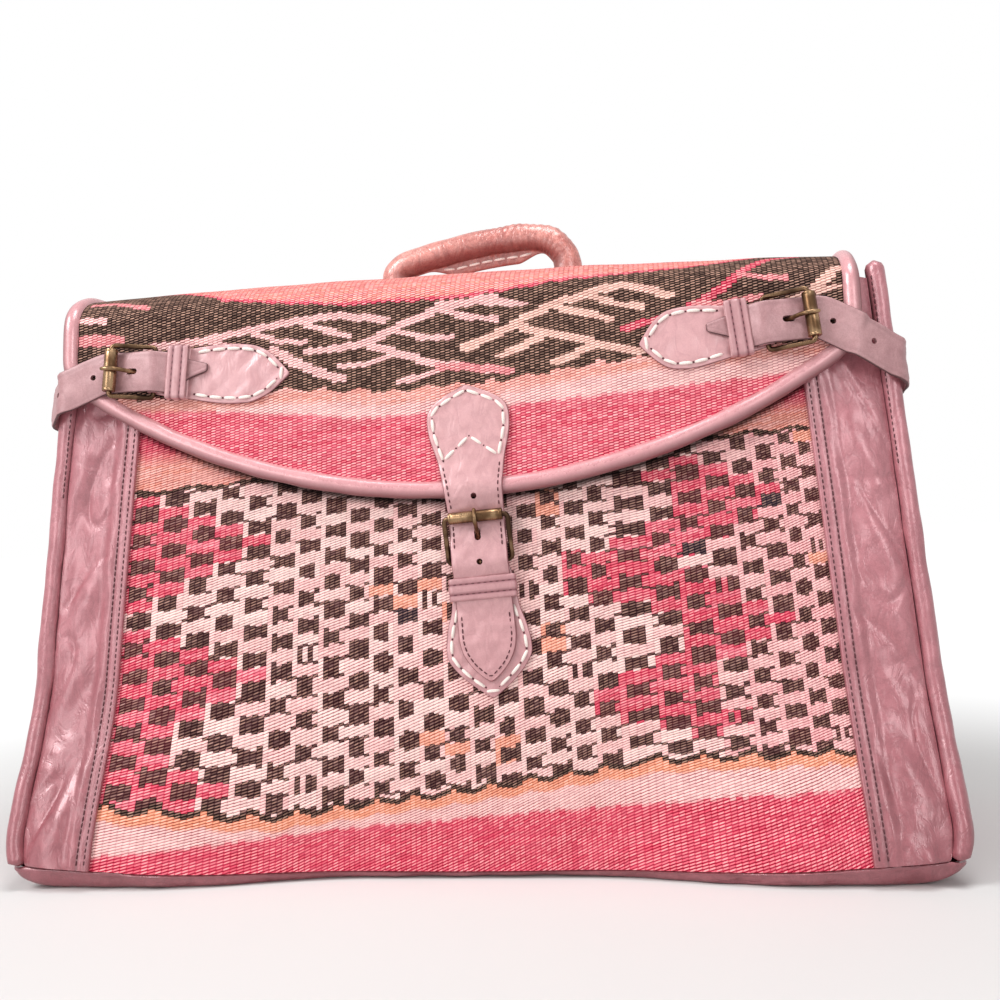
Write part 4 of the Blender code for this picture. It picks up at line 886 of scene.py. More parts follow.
def flapSections(x):
    # y and z down the flap's middle line at each x, and how far along it: 0 where the front fall starts
    s = flapShape
    x = np.atleast_1d(np.asarray(x, float))[None, :]
    lift = bag["clothThickness"] * 1.5 + seamGap
    back = skin(1, x, s["backHigh"], lift)[..., 1]
    front = skin(-1, x, s["fallStart"], flapLevel(x))[..., 1]
    top = topHeight(x)
    angle = np.linspace(0, pi / 2, 14)[:, None]
    lowZ = np.linspace(s["backLow"], s["backHigh"], 4)[:-1, None] + 0 * x
    fallZ = np.linspace(s["fallStart"], s["lowest"] - 0.004, 60)[1:, None] + 0 * x
    level = np.linspace(s["topHalf"], -s["topHalf"], 12)[1:-1, None] + 0 * x
    # up the back, round a quarter turn, across the top, round a quarter turn, and down the front
    y = [skin(1, x, lowZ, lift)[..., 1], s["topHalf"] + (back - s["topHalf"]) * np.cos(angle), level,
         -s["topHalf"] + (front + s["topHalf"]) * np.cos(angle[::-1]),
         skin(-1, x, fallZ, flapLevel(x))[..., 1]]
    z = [lowZ, s["backHigh"] + (top - s["backHigh"]) * np.sin(angle), top + 0 * level,
         s["fallStart"] + (top - s["fallStart"]) * np.sin(angle[::-1]), fallZ]
    y, z = np.concatenate(y), np.concatenate(z)
    step = np.hypot(np.diff(y, axis=0), np.diff(z, axis=0))
    length = np.concatenate([np.zeros_like(x), np.cumsum(step, 0)])
    return y, z, length[len(y) - len(fallZ) - 1] - length


def flapPoints(x, reach):
    # places on the flap's middle, at x and at a reach up from the start of the front fall
    y, z, length = flapSections(x[0])
    made = np.empty((*reach.shape, 3))
    made[..., 0] = x
    for c in range(reach.shape[1]):  # one column at a time, because each has its own section
        made[:, c, 1] = np.interp(-reach[:, c], -length[:, c], y[:, c])
        made[:, c, 2] = np.interp(-reach[:, c], -length[:, c], z[:, c])
    return made


# the edges of the flap's bands: places across in mm, and the reach there
darkBandLow = ((-240, -166, -104, -39, 23, 80, 109, 240), (-44, -47, -45, -49, -46, -39, -36, -30))
darkBandHigh = ((-240, -190, -146, -108, -73, -4, 24, 60, 95, 135, 160, 190, 240),
                (45, 34, 14, 9, 6, 6, 9, 14, 17, 21, 27, 38, 45))
pinkBandTop = ((-240, -197, -125, -55, 32, 110, 177, 240), (-50, -53, -61, -67, -63, -58, -53, -46))
flapBranches = (  # dye, half the width in mm, and a path of places: x and reach in mm
    ("palePink", 2.0, ((-194, -14), (-158, -11), (-128, -6), (-99, -2), (-75, 0), (-47, -4))),
    ("palePink", 1.4, ((-99, -3), (-83, -9), (-68, -13))),
    ("palePink", 1.4, ((-128, -8), (-113, -14), (-96, -16))),
    ("palePink", 1.4, ((-155, -13), (-136, -18))),
    ("palePink", 2.0, ((-91, -22), (-71, -21), (-54, -17), (-32, -7), (-11, 1), (20, 6))),
    ("palePink", 1.4, ((-9, -1), (6, -6), (21, -7))),
    ("palePink", 1.4, ((-39, -12), (-23, -17), (-5, -18))),
    ("palePink", 2.0, ((-55, -20), (-41, -25), (-17, -33), (24, -40))),
    ("palePink", 1.4, ((-41, -27), (-57, -32), (-73, -32))),
    ("palePink", 1.4, ((-5, -36), (-20, -40), (-36, -44))),
    ("palePink", 2.3, ((-114, -20), (-104, -27), (-90, -34), (-74, -40))),
    ("pink", 1.7, ((-235, 21), (-220, 21), (-199, 13))),
    ("palePink", 2.0, ((-238, 6), (-225, 5))),
    ("pink", 3.1, ((-235, -7), (-216, -8))),
    ("cream", 2.0, ((4, -24), (24, -18))),
    ("cream", 2.0, ((4, -25), (24, -17), (42, -7), (60, 0), (78, 4), (99, 9), (125, 1))),
    ("cream", 1.8, ((83, 2), (95, -3), (109, -6))),
    ("cream", 1.8, ((60, -3), (74, -7), (90, -12))),
    ("cream", 2.0, ((34, -13), (56, -19), (84, -27), (109, -33))),
    ("cream", 1.8, ((49, -21), (36, -27), (26, -31))),
    ("cream", 1.8, ((80, -28), (68, -33), (58, -37))),
    ("hotPink", 1.8, ((101, -18), (122, -14), (140, -7), (156, 2), (171, 14), (184, 26), (200, 31))),
    ("pink", 1.6, ((169, 11), (181, 8), (194, 7))),
    ("pink", 1.6, ((142, -6), (156, -7), (177, -4))),
    ("pink", 1.6, ((119, -15), (136, -17), (152, -19))),
    ("cream", 2.0, ((193, -9), (212, 0), (224, 12))),
    ("cream", 1.6, ((212, -2), (222, 0))),
    ("palePink", 1.8, ((-12, 0), (4, -5), (21, -8))),
    ("palePink", 1.8, ((-12, 3), (11, 4), (38, 1))),
    ("pink", 2.0, ((-12, -36), (7, -37), (30, -41))),
)


def flapColours(x, reach, grain, line):
    # bands that follow the weft, and on the dark band trees of slanting branches
    s = reach * 1000
    a = x * 1000
    low, high, pinkTop = (np.interp(a, *edge) for edge in (darkBandLow, darkBandHigh, pinkBandTop))
    scallop = 3.0 * np.abs(np.sin(pi * a / 21.0 + 0.4 * np.sin(a / 30)))
    tone = chance(grain, line, 21)[..., None]
    lineTone = chance(0 * grain, line, 22)[..., None]
    ragged = (chance(grain, 3, 23) - 0.5) * 2.0
    colour = between(dye["hotPink"], dye["rosePink"], np.clip(tone * 0.6 + lineTone * 0.9 - 0.45, 0, 1))
    colour = between(colour, dye["palePink"], smooth((s - pinkTop - ragged) / 3.0)[..., None])
    peach = between(dye["peach"], dye["palePink"], np.clip(tone * 0.3 + lineTone * 0.4, 0, 1))
    colour = between(colour, peach, smooth((s - low + 11 + ragged) / 5.0)[..., None])
    onDark = s > low - scallop + 1.5 + ragged * 0.3
    colour = dyed(colour, onDark, dye["dark"] * (0.85 + 0.35 * tone))
    for name, wide, path in flapBranches:
        for (xa, sa), (xb, sb) in zip(path, path[1:]):
            length = (xb - xa) ** 2 + (sb - sa) ** 2
            t = np.clip(((a - xa) * (xb - xa) + (s - sa) * (sb - sa)) / length, 0, 1)
            away = np.hypot((a - xa - t * (xb - xa)) * 0.55, s - sa - t * (sb - sa))
            colour = dyed(colour, (away < wide * 1.2) & onDark, dye[name] * (0.9 + 0.1 * tone))
    ridge = s > high + ragged * 0.4
    salmon = between(dye["peach"], dye["rosePink"], np.clip(0.30 + tone * 0.4 - lineTone * 0.3, 0, 1))
    # thin stripes along the top, further back
    stripe = 0.9 * bell(np.abs((s - 50) % 34 - 17) - 6 + ragged * 0.3, 1.6) * (s > 62)
    salmon = between(salmon, dye["hotPink"], stripe[..., None])
    colour = dyed(colour, ridge, salmon)
    colour = dyed(colour, ridge & (s < high + 2.2 + ragged * 0.5), dye["hotPink"])
    # the alpha is the strength of the painted highlight on each grain
    return np.concatenate([colour, 0 * tone + 0.85], -1)


def flapKilim():
    # rows follow the weft over the top and down the front; the lowest ones gather inside the binding
    s = flapShape
    inset, hem, backRows = s["inset"], s["hemHeight"], s["backRows"]
    half = s["half"] - inset
    count = int(2 * half / s["grain"])
    x = (s["shift"] + np.linspace(-half, half, count + 1))[None, :]
    slant = s["tilt"] * (x - s["shift"])
    lowReach = (flapLowerEdge(x, inset) - s["fallStart"]) * 1.0065
    lines = np.arange(s["firstLine"], (-lowReach.min() + s["tilt"] * half) / s["line"] + 0.25, 0.5)[:, None]
    reach = slant - lines * s["line"]
    gather = lowReach + hem
    squeezed = gather - (gather - reach) * hem / np.maximum(gather - reach[-1:], hem)
    reach = np.where(reach > gather, reach, squeezed)
    end = flapSections(x[0])[2][:1]
    back = end + (reach[:1] - end) * np.linspace(0, 1, backRows + 1)[:-1, None]
    reach = np.concatenate([back, reach])
    down = (slant - reach) / s["line"]
    down[backRows:] = lines
    middle = flapPoints(x, reach)
    out = squareTo(middle)
    out *= np.sign(out[len(out) * 3 // 4, count // 2] @ np.array([0, -1.0, 0]))
    middle = middle + out * (0.00025 * ripple(middle, 31, 0.05))[..., None]
    thick = bag["clothThickness"] / 2
    across = np.broadcast_to(np.arange(count + 1)[None, :] + 1000, reach.shape)
    grain = np.floor(across[:-1, :-1] + 0.5)
    odd = grain % 2
    line = np.floor(cellMiddle(down) + odd / 2)
    mx = np.broadcast_to((x[:, :-1] + x[:, 1:]) / 2, grain.shape)
    centre = s["tilt"] * (mx - s["shift"]) - (line + 0.5 - odd / 2) * s["line"]
    colours = flapColours(mx, centre, grain, line)
    outer, inner = middle + out * thick, middle - out * thick
    piece = putCloth("flap_cloth", "flap_kilim", outer, inner, across, down, colours)
    return piece


stitchKinds = {  # thread, step, length and radius
    "white": ("whiteThread", 0.0092, 0.0084, 0.00098), "hole": ("darkThread", 0.0092, 0.0014, 0.00060),
    "dark": ("darkThread", 0.0036, 0.0029, 0.00042), "handle": ("whiteThread", 0.0082, 0.0080, 0.00085),
}
stitchRows = {"whiteThread": [], "darkThread": []}
stitchRings, stitchSides = 6, 7


def shell(grid, outward, thickness):
    # a leather sheet: its outer surface is the grid, its inner side is thickness further in
    normal = squareTo(grid)
    middle = tuple(size // 2 for size in grid.shape[:2])
    normal *= np.sign(normal[middle] @ np.asarray(outward, float))
    return slab(grid, grid - normal * thickness, 4)


def stitches(path, out, kind, lift=0.0, between=False):
    # rounded stitches along a path, each one lying on the leather with its ends sunk in
    thread, step, length, radius = stitchKinds[kind]
    path = np.asarray(path, float)
    lengths = travelled(path)
    count = max(1, round(lengths[-1] / step))
    at = (np.arange(count) + (0.0 if between else 0.5)) * lengths[-1] / count
    centre = readAt(at, lengths, path)
    up = unit(readAt(at, lengths, np.broadcast_to(out, path.shape)))
    ahead = readAt(at, lengths, along(path))
    ahead = unit(ahead - up * np.sum(ahead * up, 1, keepdims=True))
    side = np.cross(up, ahead)
    place = np.array([-1, -0.8, -0.35, 0.35, 0.8, 1])
    wide = np.array([0.25, 0.8, 1, 1, 0.8, 0.25]) * radius
    high = np.array([-0.9, -0.15, 0.35, 0.35, -0.15, -0.9]) * radius + lift
    ring = circle(1.0, stitchSides)
    middle = centre[:, None] + ahead[:, None] * (place * length / 2)[:, None] + up[:, None] * high[:, None]
    points = (middle[:, :, None] + side[:, None, None] * (ring[:, :1] * wide[:, None, None])
              + up[:, None, None] * (ring[:, 1:] * wide[:, None, None]))
    stitchRows[thread].append(points.reshape(count, -1, 3))
    if kind == "white":
        stitches(path, out, "hole", lift - 0.0003, True)


def sewStitches():
    # all the stitches of one thread are one piece
    size = stitchRings * stitchSides
    ring = np.arange(size).reshape(stitchRings, stitchSides)
    cell = np.array(quads(ring, wrapColumns=True))
    for thread, rows in stitchRows.items():
        points = np.concatenate(rows)
        start = np.arange(len(points)) * size
        faces = (cell[None] + start[:, None, None]).reshape(-1, 4).tolist()
        faces += (ring[0][None] + start[:, None]).tolist() + (ring[-1][::-1][None] + start[:, None]).tolist()
        name = {"whiteThread": "white_hand_stitches", "darkThread": "dark_machine_stitches"}[thread]
        putPiece(name, points, faces, thread)


borderShape = {
    "rowStep": 0.0022, "start": 0.01, "raise": clothRise, "puff": 0.0036, "soft": 0.0017, "fold": 0.0014,
    # the folded hem over the kilim's edge: places across from that edge, and how far its first points drop
    "hem": (-0.008, -0.0079, -0.0076, -0.0070, -0.0060, -0.0045, -0.0030, -0.0016, -0.0004, 0.0008, 0.0020),
    "hemDrop": (0.0019, 0.0012, 0.0005, 0.0001),
    "seams": ((-0.0052, 0.0007), (-0.0004, 0.0008)), "seamDepth": 0.0006,  # place and width of each sewn line
}


def border(side, hand, top):
    # a leather border: a folded hem over the kilim's edge, then soft puffed leather out to the edge roll
    b, thick = borderShape, bag["leatherThickness"]
    hem = np.array(b["hem"])
    t = np.linspace(0, 1, int((top - b["start"]) / b["rowStep"]))[:, None]
    edge = seamHeight(edgeX(0.0)) + seamGap
    z = edge + (top - edge) * t
    slack = np.linspace(0, 1, 27)[1:]
    kilim = kilimHalfWidth(z)
    outer = halfWidth(z) - 2 * bag["rollRadius"] - seamGap
    x = np.concatenate([kilim + hem, kilim + hem[-1] + (outer - kilim - hem[-1]) * slack], -1)
    z = z * np.ones_like(x)
    z = z + (seamHeight(x) + seamGap - z) * smooth(1 - t / 0.04)
    onHem = bag["clothThickness"] + b["raise"] + seamGap + thick
    fold = onHem + 0 * hem
    fold[:4] = onHem - np.array(b["hemDrop"])
    body = onHem + (thick + 0.0005 - onHem) * smooth(slack / 0.22) + b["puff"] * np.sin(pi * slack) ** 0.8
    level = np.broadcast_to(np.concatenate([fold, body]), x.shape)
    # a place of its own for each border in the random height, turned so that its folds run aslant
    flat = np.stack([x + 0.5 * z, 0 * x, z - 0.5 * x], -1) + (0, side * 0.3, hand * 0.7)
    free = np.concatenate([0 * hem, np.sin(pi * np.minimum(slack, 0.97)) ** 0.5])
    soft = b["soft"] * ripple(flat, 41, 0.060, (0.6, 1, 1.6))
    crease = folds(flat, 42, 0.070, (0.5, 1, 1.6), 0.20) * b["fold"]
    small = 0.00008 * ripple(flat, 43, 0.012)
    groove = sum(bell(x - kilim - offset, width) for offset, width in b["seams"])
    level = level + (soft - crease + small) * free - b["seamDepth"] * groove
    points, faces, _ = shell(skin(side, hand * x, z, level), (0, side, 0), thick)
    cut = 0.7 * np.concatenate([groove.ravel(), np.zeros(len(points) - groove.size)])
    putPiece(f"{faceNames[side]}_border_{handNames[hand]}", points, faces, "rose", sharp=70, cut=cut,
             instead=[f"{faceNames[side]}_leather_strip_{handNames[hand]}"])
    zs = np.linspace(0.014, top - 0.004, 160)
    for offset, _ in b["seams"]:
        across = hand * (kilimHalfWidth(zs) + offset)
        path = skin(side, across, zs, onHem - 0.0003)
        stitches(path, unit(skin(side, across, zs, onHem + 0.01) - path), "dark")


rollShape = {"start": 0.0142, "levelOver": 0.012, "dents": 0.00022, "dentSize": 0.026, "startRound": 0.15,
             "seamTurn": 38, "seamFrom": 0.23}


def edgeRoll(side, hand, top):
    # the piped corner seam: a leather roll that follows the bag's edge, pinched here and there
    r, radius = rollShape, bag["rollRadius"]
    path = rollCentre(side, hand, np.linspace(r["start"], top + 0.003, 150))
    points, faces = rope(path, forEach(path, [0.0, side, 0.0]), radius, 18, r["dents"], 50 + hand + side,
                         r["dentSize"], r["startRound"])
    # its end is cut level above the tray
    level = smooth((path[:, 2:] - r["start"]) / r["levelOver"])
    points[..., 2] = path[:, 2:] + (points[..., 2] - path[:, 2:]) * level
    putPiece(f"{faceNames[side]}_roll_{handNames[hand]}", points, faces, "rose", sharp=80,
             instead=[f"edge_roll_{faceNames[side]}_{handNames[hand]}"])
    turn = radians(r["seamTurn"])
    out = np.array([-hand * sin(turn), side * cos(turn), 0.0])
    centre = rollCentre(side, hand, np.linspace(r["seamFrom"], top - 0.006, 60))
    stitches(centre + out * (radius - 0.0001), out, "dark")


gussetShape = {"top": 0.335, "soft": 0.0024, "fold": 0.0018, "small": 0.0001}


def gussetPanel(hand):
    # a side panel with deep soft folds, full below and drawn in at the top
    g = gussetShape
    t = np.linspace(0, 1, 61)[None, :]
    edge = seamHeight(edgeX(0.0)) + seamGap
    z = np.linspace(edge, g["top"], 150)[:, None]
    front = rollCentre(-1, hand, z)[..., 1] + bag["rollRadius"] + seamGap
    back = rollCentre(1, hand, z)[..., 1] - bag["rollRadius"] - seamGap
    grid = np.stack([hand * (gussetX(t, z) + 0.001), front + (back - front) * t, z + 0 * t], -1)
    free = np.sin(pi * t) ** 0.5 * smooth((z - edge) / 0.03)
    push = g["soft"] * ripple(grid, 60 + hand, 0.10, (1, 0.7, 2.0))
    push -= g["fold"] * folds(grid, 62 + hand, 0.10, (1, 0.5, 2.0), 0.22)
    push += g["small"] * ripple(grid, 64, 0.02)
    grid[..., 0] += hand * push * free
    points, faces, _ = shell(grid, (hand, 0, 0), bag["leatherThickness"])
    label = handNames[hand]
    putPiece("side_" + label, points, faces, "rose", sharp=70, instead=["gusset_" + label])


trayShape = {"corner": 0.009, "pullX": 0.030, "pullY": 0.007, "soft": 0.0009, "fold": 0.0008, "lip": 0.0011}


def baseTray():
    # a shallow leather tray: the seam line round the bag, pulled in and down a quarter turn to the floor
    s, thick = trayShape, bag["leatherThickness"]
    corner = s["corner"]
    endHeight = seamHeight(edgeX(0.0))
    cornerX = edgeX(endHeight) + bag["rollRadius"] - corner
    cornerY = {side: skin(side, cornerX, endHeight, thick - corner)[1] for side in (-1, 1)}
    turns = np.linspace(0, pi / 2, 8)[1:-1]
    t = np.linspace(0, 1, 41)
    ring = []
    for side, hand in ((-1, 1), (1, -1)):
        a = np.linspace(-cornerX, cornerX, 91) * hand
        ring.append(skin(side, a, seamHeight(a), thick))
        bendX = hand * (cornerX + corner * np.sin(turns))
        bend = np.stack([bendX, corner * np.cos(turns), 0 * turns + endHeight], -1)
        ring.append(bend * (1, side, 1) + (0, cornerY[side], 0))
        endX = hand * (gussetX(t if side < 0 else 1 - t, endHeight) + thick / 2)
        endY = cornerY[side] + (cornerY[-side] - cornerY[side]) * t
        ring.append(np.stack([endX, endY, 0 * t + endHeight], -1))
        ring.append((bend * (1, -side, 1) + (0, cornerY[-side], 0))[::-1])
    seam = resample(np.concatenate(ring), 0.0035, closed=True)

    def around(angle, inner):
        pull = 1 - cos(angle)
        x = seam[:, 0] * (1 - (s["pullX"] * pull + inner * cos(angle)) / bag["baseHalf"])
        y = seam[:, 1] * (1 - (s["pullY"] * pull + inner * cos(angle)) / bag["baseDepth"])
        made = np.stack([x, y, seam[:, 2] * (1 - sin(angle)) + inner * sin(angle)], -1)
        if not inner:
            wave = s["soft"] * ripple(made, 71, 0.03) - s["fold"] * folds(made, 72, 0.03, (1, 1, 0.4))
            made[:, 1] += np.sign(y) * wave * (sin(angle) * cos(angle) * 2)
            made[:, 1] += np.sign(y) * s["lip"] * bell(angle - 0.10, 0.10) * (np.abs(y) > 0.06)
        return made

    angles = np.linspace(pi / 2, 0, 15)
    rings = np.array([around(a, 0.0) for a in angles] + [around(a, thick) for a in angles[::-1][::2]])
    putPiece("base_tray", rings, closedTube(rings), "rose", instead=["base_panel"], sharp=70)


def flapBinding():
    # the rolled edge of the flap: down its left side, round the wide lower curve, and up its right side
    s = flapShape
    half, corner, arc, shift = s["half"], s["corner"], s["arc"], s["shift"]
    centre, reach, cornerZ = flapCorner()
    turn = np.arcsin(reach / (arc - corner))

    def downSide(x):
        y, z, length = (one[:, 0] for one in flapSections(x))
        keep = (z > cornerZ) | (length > 0)
        return np.stack([0 * y[keep] + x, y[keep], z[keep]], -1)

    a = np.linspace(pi / 2, turn, 12)[1:]
    b = np.linspace(turn, -turn, 120)[1:-1]
    cornerX, cornerLow = reach + corner * np.sin(a), cornerZ - corner * np.cos(a)
    lowX = np.concatenate([-cornerX, -arc * np.sin(b), cornerX[::-1]])
    lowZ = np.concatenate([cornerLow, centre - arc * np.cos(b), cornerLow[::-1]])
    low = skin(-1, shift + lowX, lowZ, flapLevel(shift + lowX))
    path = np.concatenate([downSide(shift - half), low, downSide(shift + half)[::-1]])
    path = resample(soften(resample(path, 0.002), 3), 0.0022)
    # outwards is away from a place near the flap's top
    out = unit(np.stack([path[:, 0] - shift, 0 * path[:, 0], np.minimum(path[:, 2] - 0.34, -0.004)], -1))
    points, faces = rope(path, out, s["binding"] + 0.0002, 20, 0.00014, 81, 0.03)
    # painted shade: the binding is darkened on its outer, lower side through the cut value
    cut = 0.9 * smooth((np.sin(np.arange(20) * pi / 10) + 0.15) / 1.1) * np.ones((len(path), 1))
    putPiece("flap_edge_roll", points, faces, "salmon", instead=["flap_binding"], sharp=80, cut=cut)


class Seat:
    # a place on the front: u runs along a strap to its tip, w across it, n out of the surface
    def __init__(self, x, z, turn, direction, level):
        self.x, self.z, self.level = x, z, level
        angle = radians(turn)
        if direction == "down":
            self.u = np.array([-sin(angle), -cos(angle)])
        else:
            self.u = np.array([direction * cos(angle), sin(angle)])
        self.w = np.array([-self.u[1], self.u[0]])
        step = 1e-3
        self.origin = self.onSkin(0, 0, 0)
        self.along = unit(self.onSkin(step, 0, 0) - self.origin)
        self.out = unit(np.cross(self.along, unit(self.onSkin(0, step, 0) - self.origin)))
        self.across = np.cross(self.out, self.along)
        self.axes = self.along, self.across, self.out

    def onSkin(self, u, w, n):
        # a place that follows the bag's surface
        x = self.x + self.u[0] * u + self.w[0] * w
        return skin(-1, x, self.z + self.u[1] * u + self.w[1] * w, self.level(x) + n)

    def rigid(self, u, w, n):
        # a place on straight axes, for the metal
        u, w, n = np.broadcast_arrays(*(np.asarray(one, float)[..., None] for one in (u, w, n)))
        return self.origin + self.along * u + self.across * w + self.out * n


def onFlap(x):
    # height of the flap's outer side over the front surface
    return flapLevel(x) + bag["clothThickness"] / 2


def onFront(x):
    # height of the front's checks over the front surface
    return bag["clothThickness"] + clothRise + 0 * x


buckle = {"wire": 0.0015, "length": 0.026, "corner": 0.0025, "heel": 0.0041, "prong": 0.0013, "eye": 0.0009,
          "runningGap": 0.0004, "eyeGap": 0.00035, "sideGap": 0.0017, "bore": 0.0020}
strapSizes = {"strap": 0.0025, "tab": 0.0018, "keeper": 0.0012, "keeperLength": 0.013, "keeperSlack": 0.0010,
              "keeperStart": 0.0088, "strapFlat": 0.0025}
ringReach = buckle["wire"] + buckle["eyeGap"] + 2 * buckle["eye"]
# half length, half width and depth of each cut
prongHole = (0.0036, buckle["prong"] + 0.0006, 0.004)
roundHole = (0.0018, 0.0018, 0.0045)
tabSlot = (ringReach + seamGap * 3, buckle["prong"] + 0.0006, buckle["heel"] * 2)
# outlines from the tip: distance along from the heel bar, and half width
sideTab = ((0.0845, 0.0008), (0.0805, 0.0050), (0.0745, 0.0108), (0.068, 0.0154), (0.061, 0.0178),
           (0.052, 0.0187), (0.040, 0.0183), (0.030, 0.0170), (0.023, 0.0158), (0.0095, 0.0145))
shortTab = tuple((u if u < 0.03 else 0.03 + (u - 0.03) * 0.79, w) for u, w in sideTab)
centreTab = ((0.0785, 0.0008), (0.0750, 0.0060), (0.0695, 0.0130), (0.0625, 0.0200), (0.0550, 0.0250),
             (0.0470, 0.0252), (0.0360, 0.0230), (0.0290, 0.0205), (0.0230, 0.0195), (0.0095, 0.0180))
centreTip = ((0.0690, 0.0008), (0.0660, 0.0052), (0.0600, 0.0112), (0.0520, 0.0156), (0.0440, 0.0171),
             (0.0300, 0.0168))
centreHead = ((0.0400, 0.0172), (0.0500, 0.0182), (0.0580, 0.0196), (0.0660, 0.0218), (0.0730, 0.0238),
              (0.0790, 0.0247), (0.0870, 0.0248), (0.0920, 0.0230), (0.0965, 0.0170), (0.1005, 0.0090),
              (0.1040, 0.0008))
centreHalf = 0.0166  # half the centre strap's width where it runs through the buckle
sideFastening = {"half": 0.01275, "roller": 0.0040, "emerge": 0.0135, "under": 0.00365, "keeper": 0.0155}
fastenings = {  # emerge is where the prong comes out, under how high the strap runs under the roller
    "left": {"seat": Seat(-0.188, 0.3025, -3.0, 1, onFlap), "tab": sideTab, **sideFastening},
    "right": {"seat": Seat(0.180, 0.3115, -6.0, -1, onFlap), "tab": shortTab, **sideFastening},
    "centre": {"seat": Seat(0.0105, 0.182, -3.8, "down", onFront), "tab": centreTab, "half": 0.0155,
               "roller": 0.0035, "emerge": 0.0160, "under": 0.0050, "keeper": 0.0186},
}


def barHeight(one):
    # height of the bar in the roller: the roller lies on the strap that runs under it
    return one["under"] + strapSizes["strap"] + buckle["runningGap"] + one["roller"]


def buckleFrame(label, one):
    # a bent wire: a rectangle with round corners, its far bar higher than its heel bar
    seat, corner = one["seat"], buckle["corner"]
    side = one["half"] + buckle["sideGap"] + buckle["wire"]
    rise = barHeight(one) - buckle["heel"]
    length = sqrt(buckle["length"] ** 2 + rise**2)
    angle = np.concatenate([np.linspace(first, first + pi / 2, 9) for first in (pi, 1.5 * pi, 0.0, 0.5 * pi)])
    a = corner + np.repeat([0, 1, 1, 0], 9) * (length - 2 * corner) + corner * np.cos(angle)
    w = np.repeat([-1, -1, 1, 1], 9) * (side - corner) + corner * np.sin(angle)
    path = seat.rigid(-a * buckle["length"] / length, w, buckle["heel"] + a * rise / length)
    path = resample(path, 0.0012, closed=True)
    plane = unit(seat.along * -buckle["length"] / length + seat.out * rise / length)
    normal = forEach(path, np.cross(plane, seat.across))
    points, faces = sweep(path, normal, circle(buckle["wire"], 16), closed=True)
    points = dented(points, path, buckle["wire"], 0.00005, 91, 0.006)
    putPiece(f"wire_frame_{label}", points, faces, "darkBrass", instead=["buckle_frame_" + label], sharp=80)


rollerShape = {
    "sides": 48, "lap": 0.05, "lapAngle": 4.0, "lapWidth": 0.09,
    # shares of the half length, and of the radius there: turned-over ends and a groove near each
    "places": (-1, -0.985, -0.95, -0.90, -0.88, -0.86, 0.86, 0.88, 0.90, 0.95, 0.985, 1),
    "reach": (0.86, 0.96, 1, 1, 0.965, 1, 1, 0.965, 1, 1, 0.96, 0.86),
}


def buckleRoller(label, one):
    # a rolled tube of sheet brass on the far bar, its ends turned over and its lap joint showing
    seat, radius, r = one["seat"], one["roller"], rollerShape
    half = one["half"] + buckle["sideGap"] + buckle["wire"] - buckle["corner"] - seamGap
    centre = seat.rigid(-buckle["length"], 0, barHeight(one))
    angle = np.arange(r["sides"]) * 2 * pi / r["sides"]
    lap = 1 - r["lap"] * bell(angle - r["lapAngle"], r["lapWidth"])
    place = np.array(r["places"] + r["places"][::-1])
    count = len(r["reach"])
    reach = np.array(r["reach"] + (buckle["bore"] / radius,) * count) * radius
    around = np.where((np.arange(len(reach)) >= count)[:, None], 1.0, lap[None]) * reach[:, None]
    points = (centre + seat.across * (place * half)[:, None, None]
              + seat.along * (around * np.cos(angle))[..., None]
              + seat.out * (around * np.sin(angle))[..., None])
    faces = quads(numbered(points), wrapRows=True, wrapColumns=True)
    putPiece(f"roller_{label}_tube", points, faces, "brass", body=f"roller_{label}", sharp=35,
             instead=["buckle_roller_" + label])


def strapLine(one):
    # the strap's middle from its keeper over the heel bar to under the roller: distance, height
    size = strapSizes
    inKeeper = 3 * seamGap + size["tab"] + size["strap"] / 2 + size["keeper"]
    overHeel = buckle["heel"] + ringReach + seamGap * 1.5 + size["strap"] / 2
    under = one["under"] + size["strap"] / 2
    return [(size["keeperStart"] + size["keeperLength"], inKeeper),
            (size["keeperStart"] - 0.0006, inKeeper + seamGap / 2),
            (0.0032, overHeel - 0.0006), (0.0, overHeel), (-0.0030, overHeel - 0.0004),
            (size["strapFlat"] - buckle["length"], under), (-size["strapFlat"] - buckle["length"], under)]


def lineHeight(one, u):
    # the strap's height at a distance along it
    places, heights = np.array(sorted(strapLine(one))).T
    return float(np.interp(u, places, heights))


def buckleProng(label, one):
    # a wire tongue: an eye round the heel bar, up through the strap and over the roller, thinner at its end
    seat, heel, length, emerge = one["seat"], buckle["heel"], buckle["length"], one["emerge"]
    ring = buckle["wire"] + buckle["eyeGap"] + buckle["eye"]
    angles = np.linspace(radians(165), -pi / 2, 28)
    over = barHeight(one) + one["roller"] + buckle["runningGap"] + buckle["prong"]
    low = heel - ring
    tail = [(-0.004, low + 0.0001), (-emerge * 0.64, low + 0.0011), (-emerge, lineHeight(one, -emerge)),
            (-emerge - 0.0042, over - 0.0036), (-length + 0.0042, over - 0.0006), (-length, over),
            (-length - 0.0045, over - 0.0012)]
    line = np.concatenate([np.stack([ring * np.cos(angles), heel + ring * np.sin(angles)], -1), tail])
    line = soften(resample(line, 0.0006), 3)
    path = seat.rigid(line[:, 0], 0, line[:, 1])
    share = np.linspace(0, 1, len(path))
    radius = buckle["eye"] + (buckle["prong"] - buckle["eye"]) * smooth((share - 0.28) / 0.1)
    radius = radius * (1 - 0.25 * smooth((share - 0.93) / 0.07))
    ends = rounded(np.minimum(share, 1 - share) / 0.02, 0.06)
    profile = circle(1.0, 14)[None] * (radius * ends)[:, None, None]
    points, faces = sweep(path, forEach(path, seat.across), profile)
    putPiece(f"prong_{label}_wire", points, faces, "brass", body=f"prong_{label}", sharp=80,
             instead=["buckle_prong_" + label])


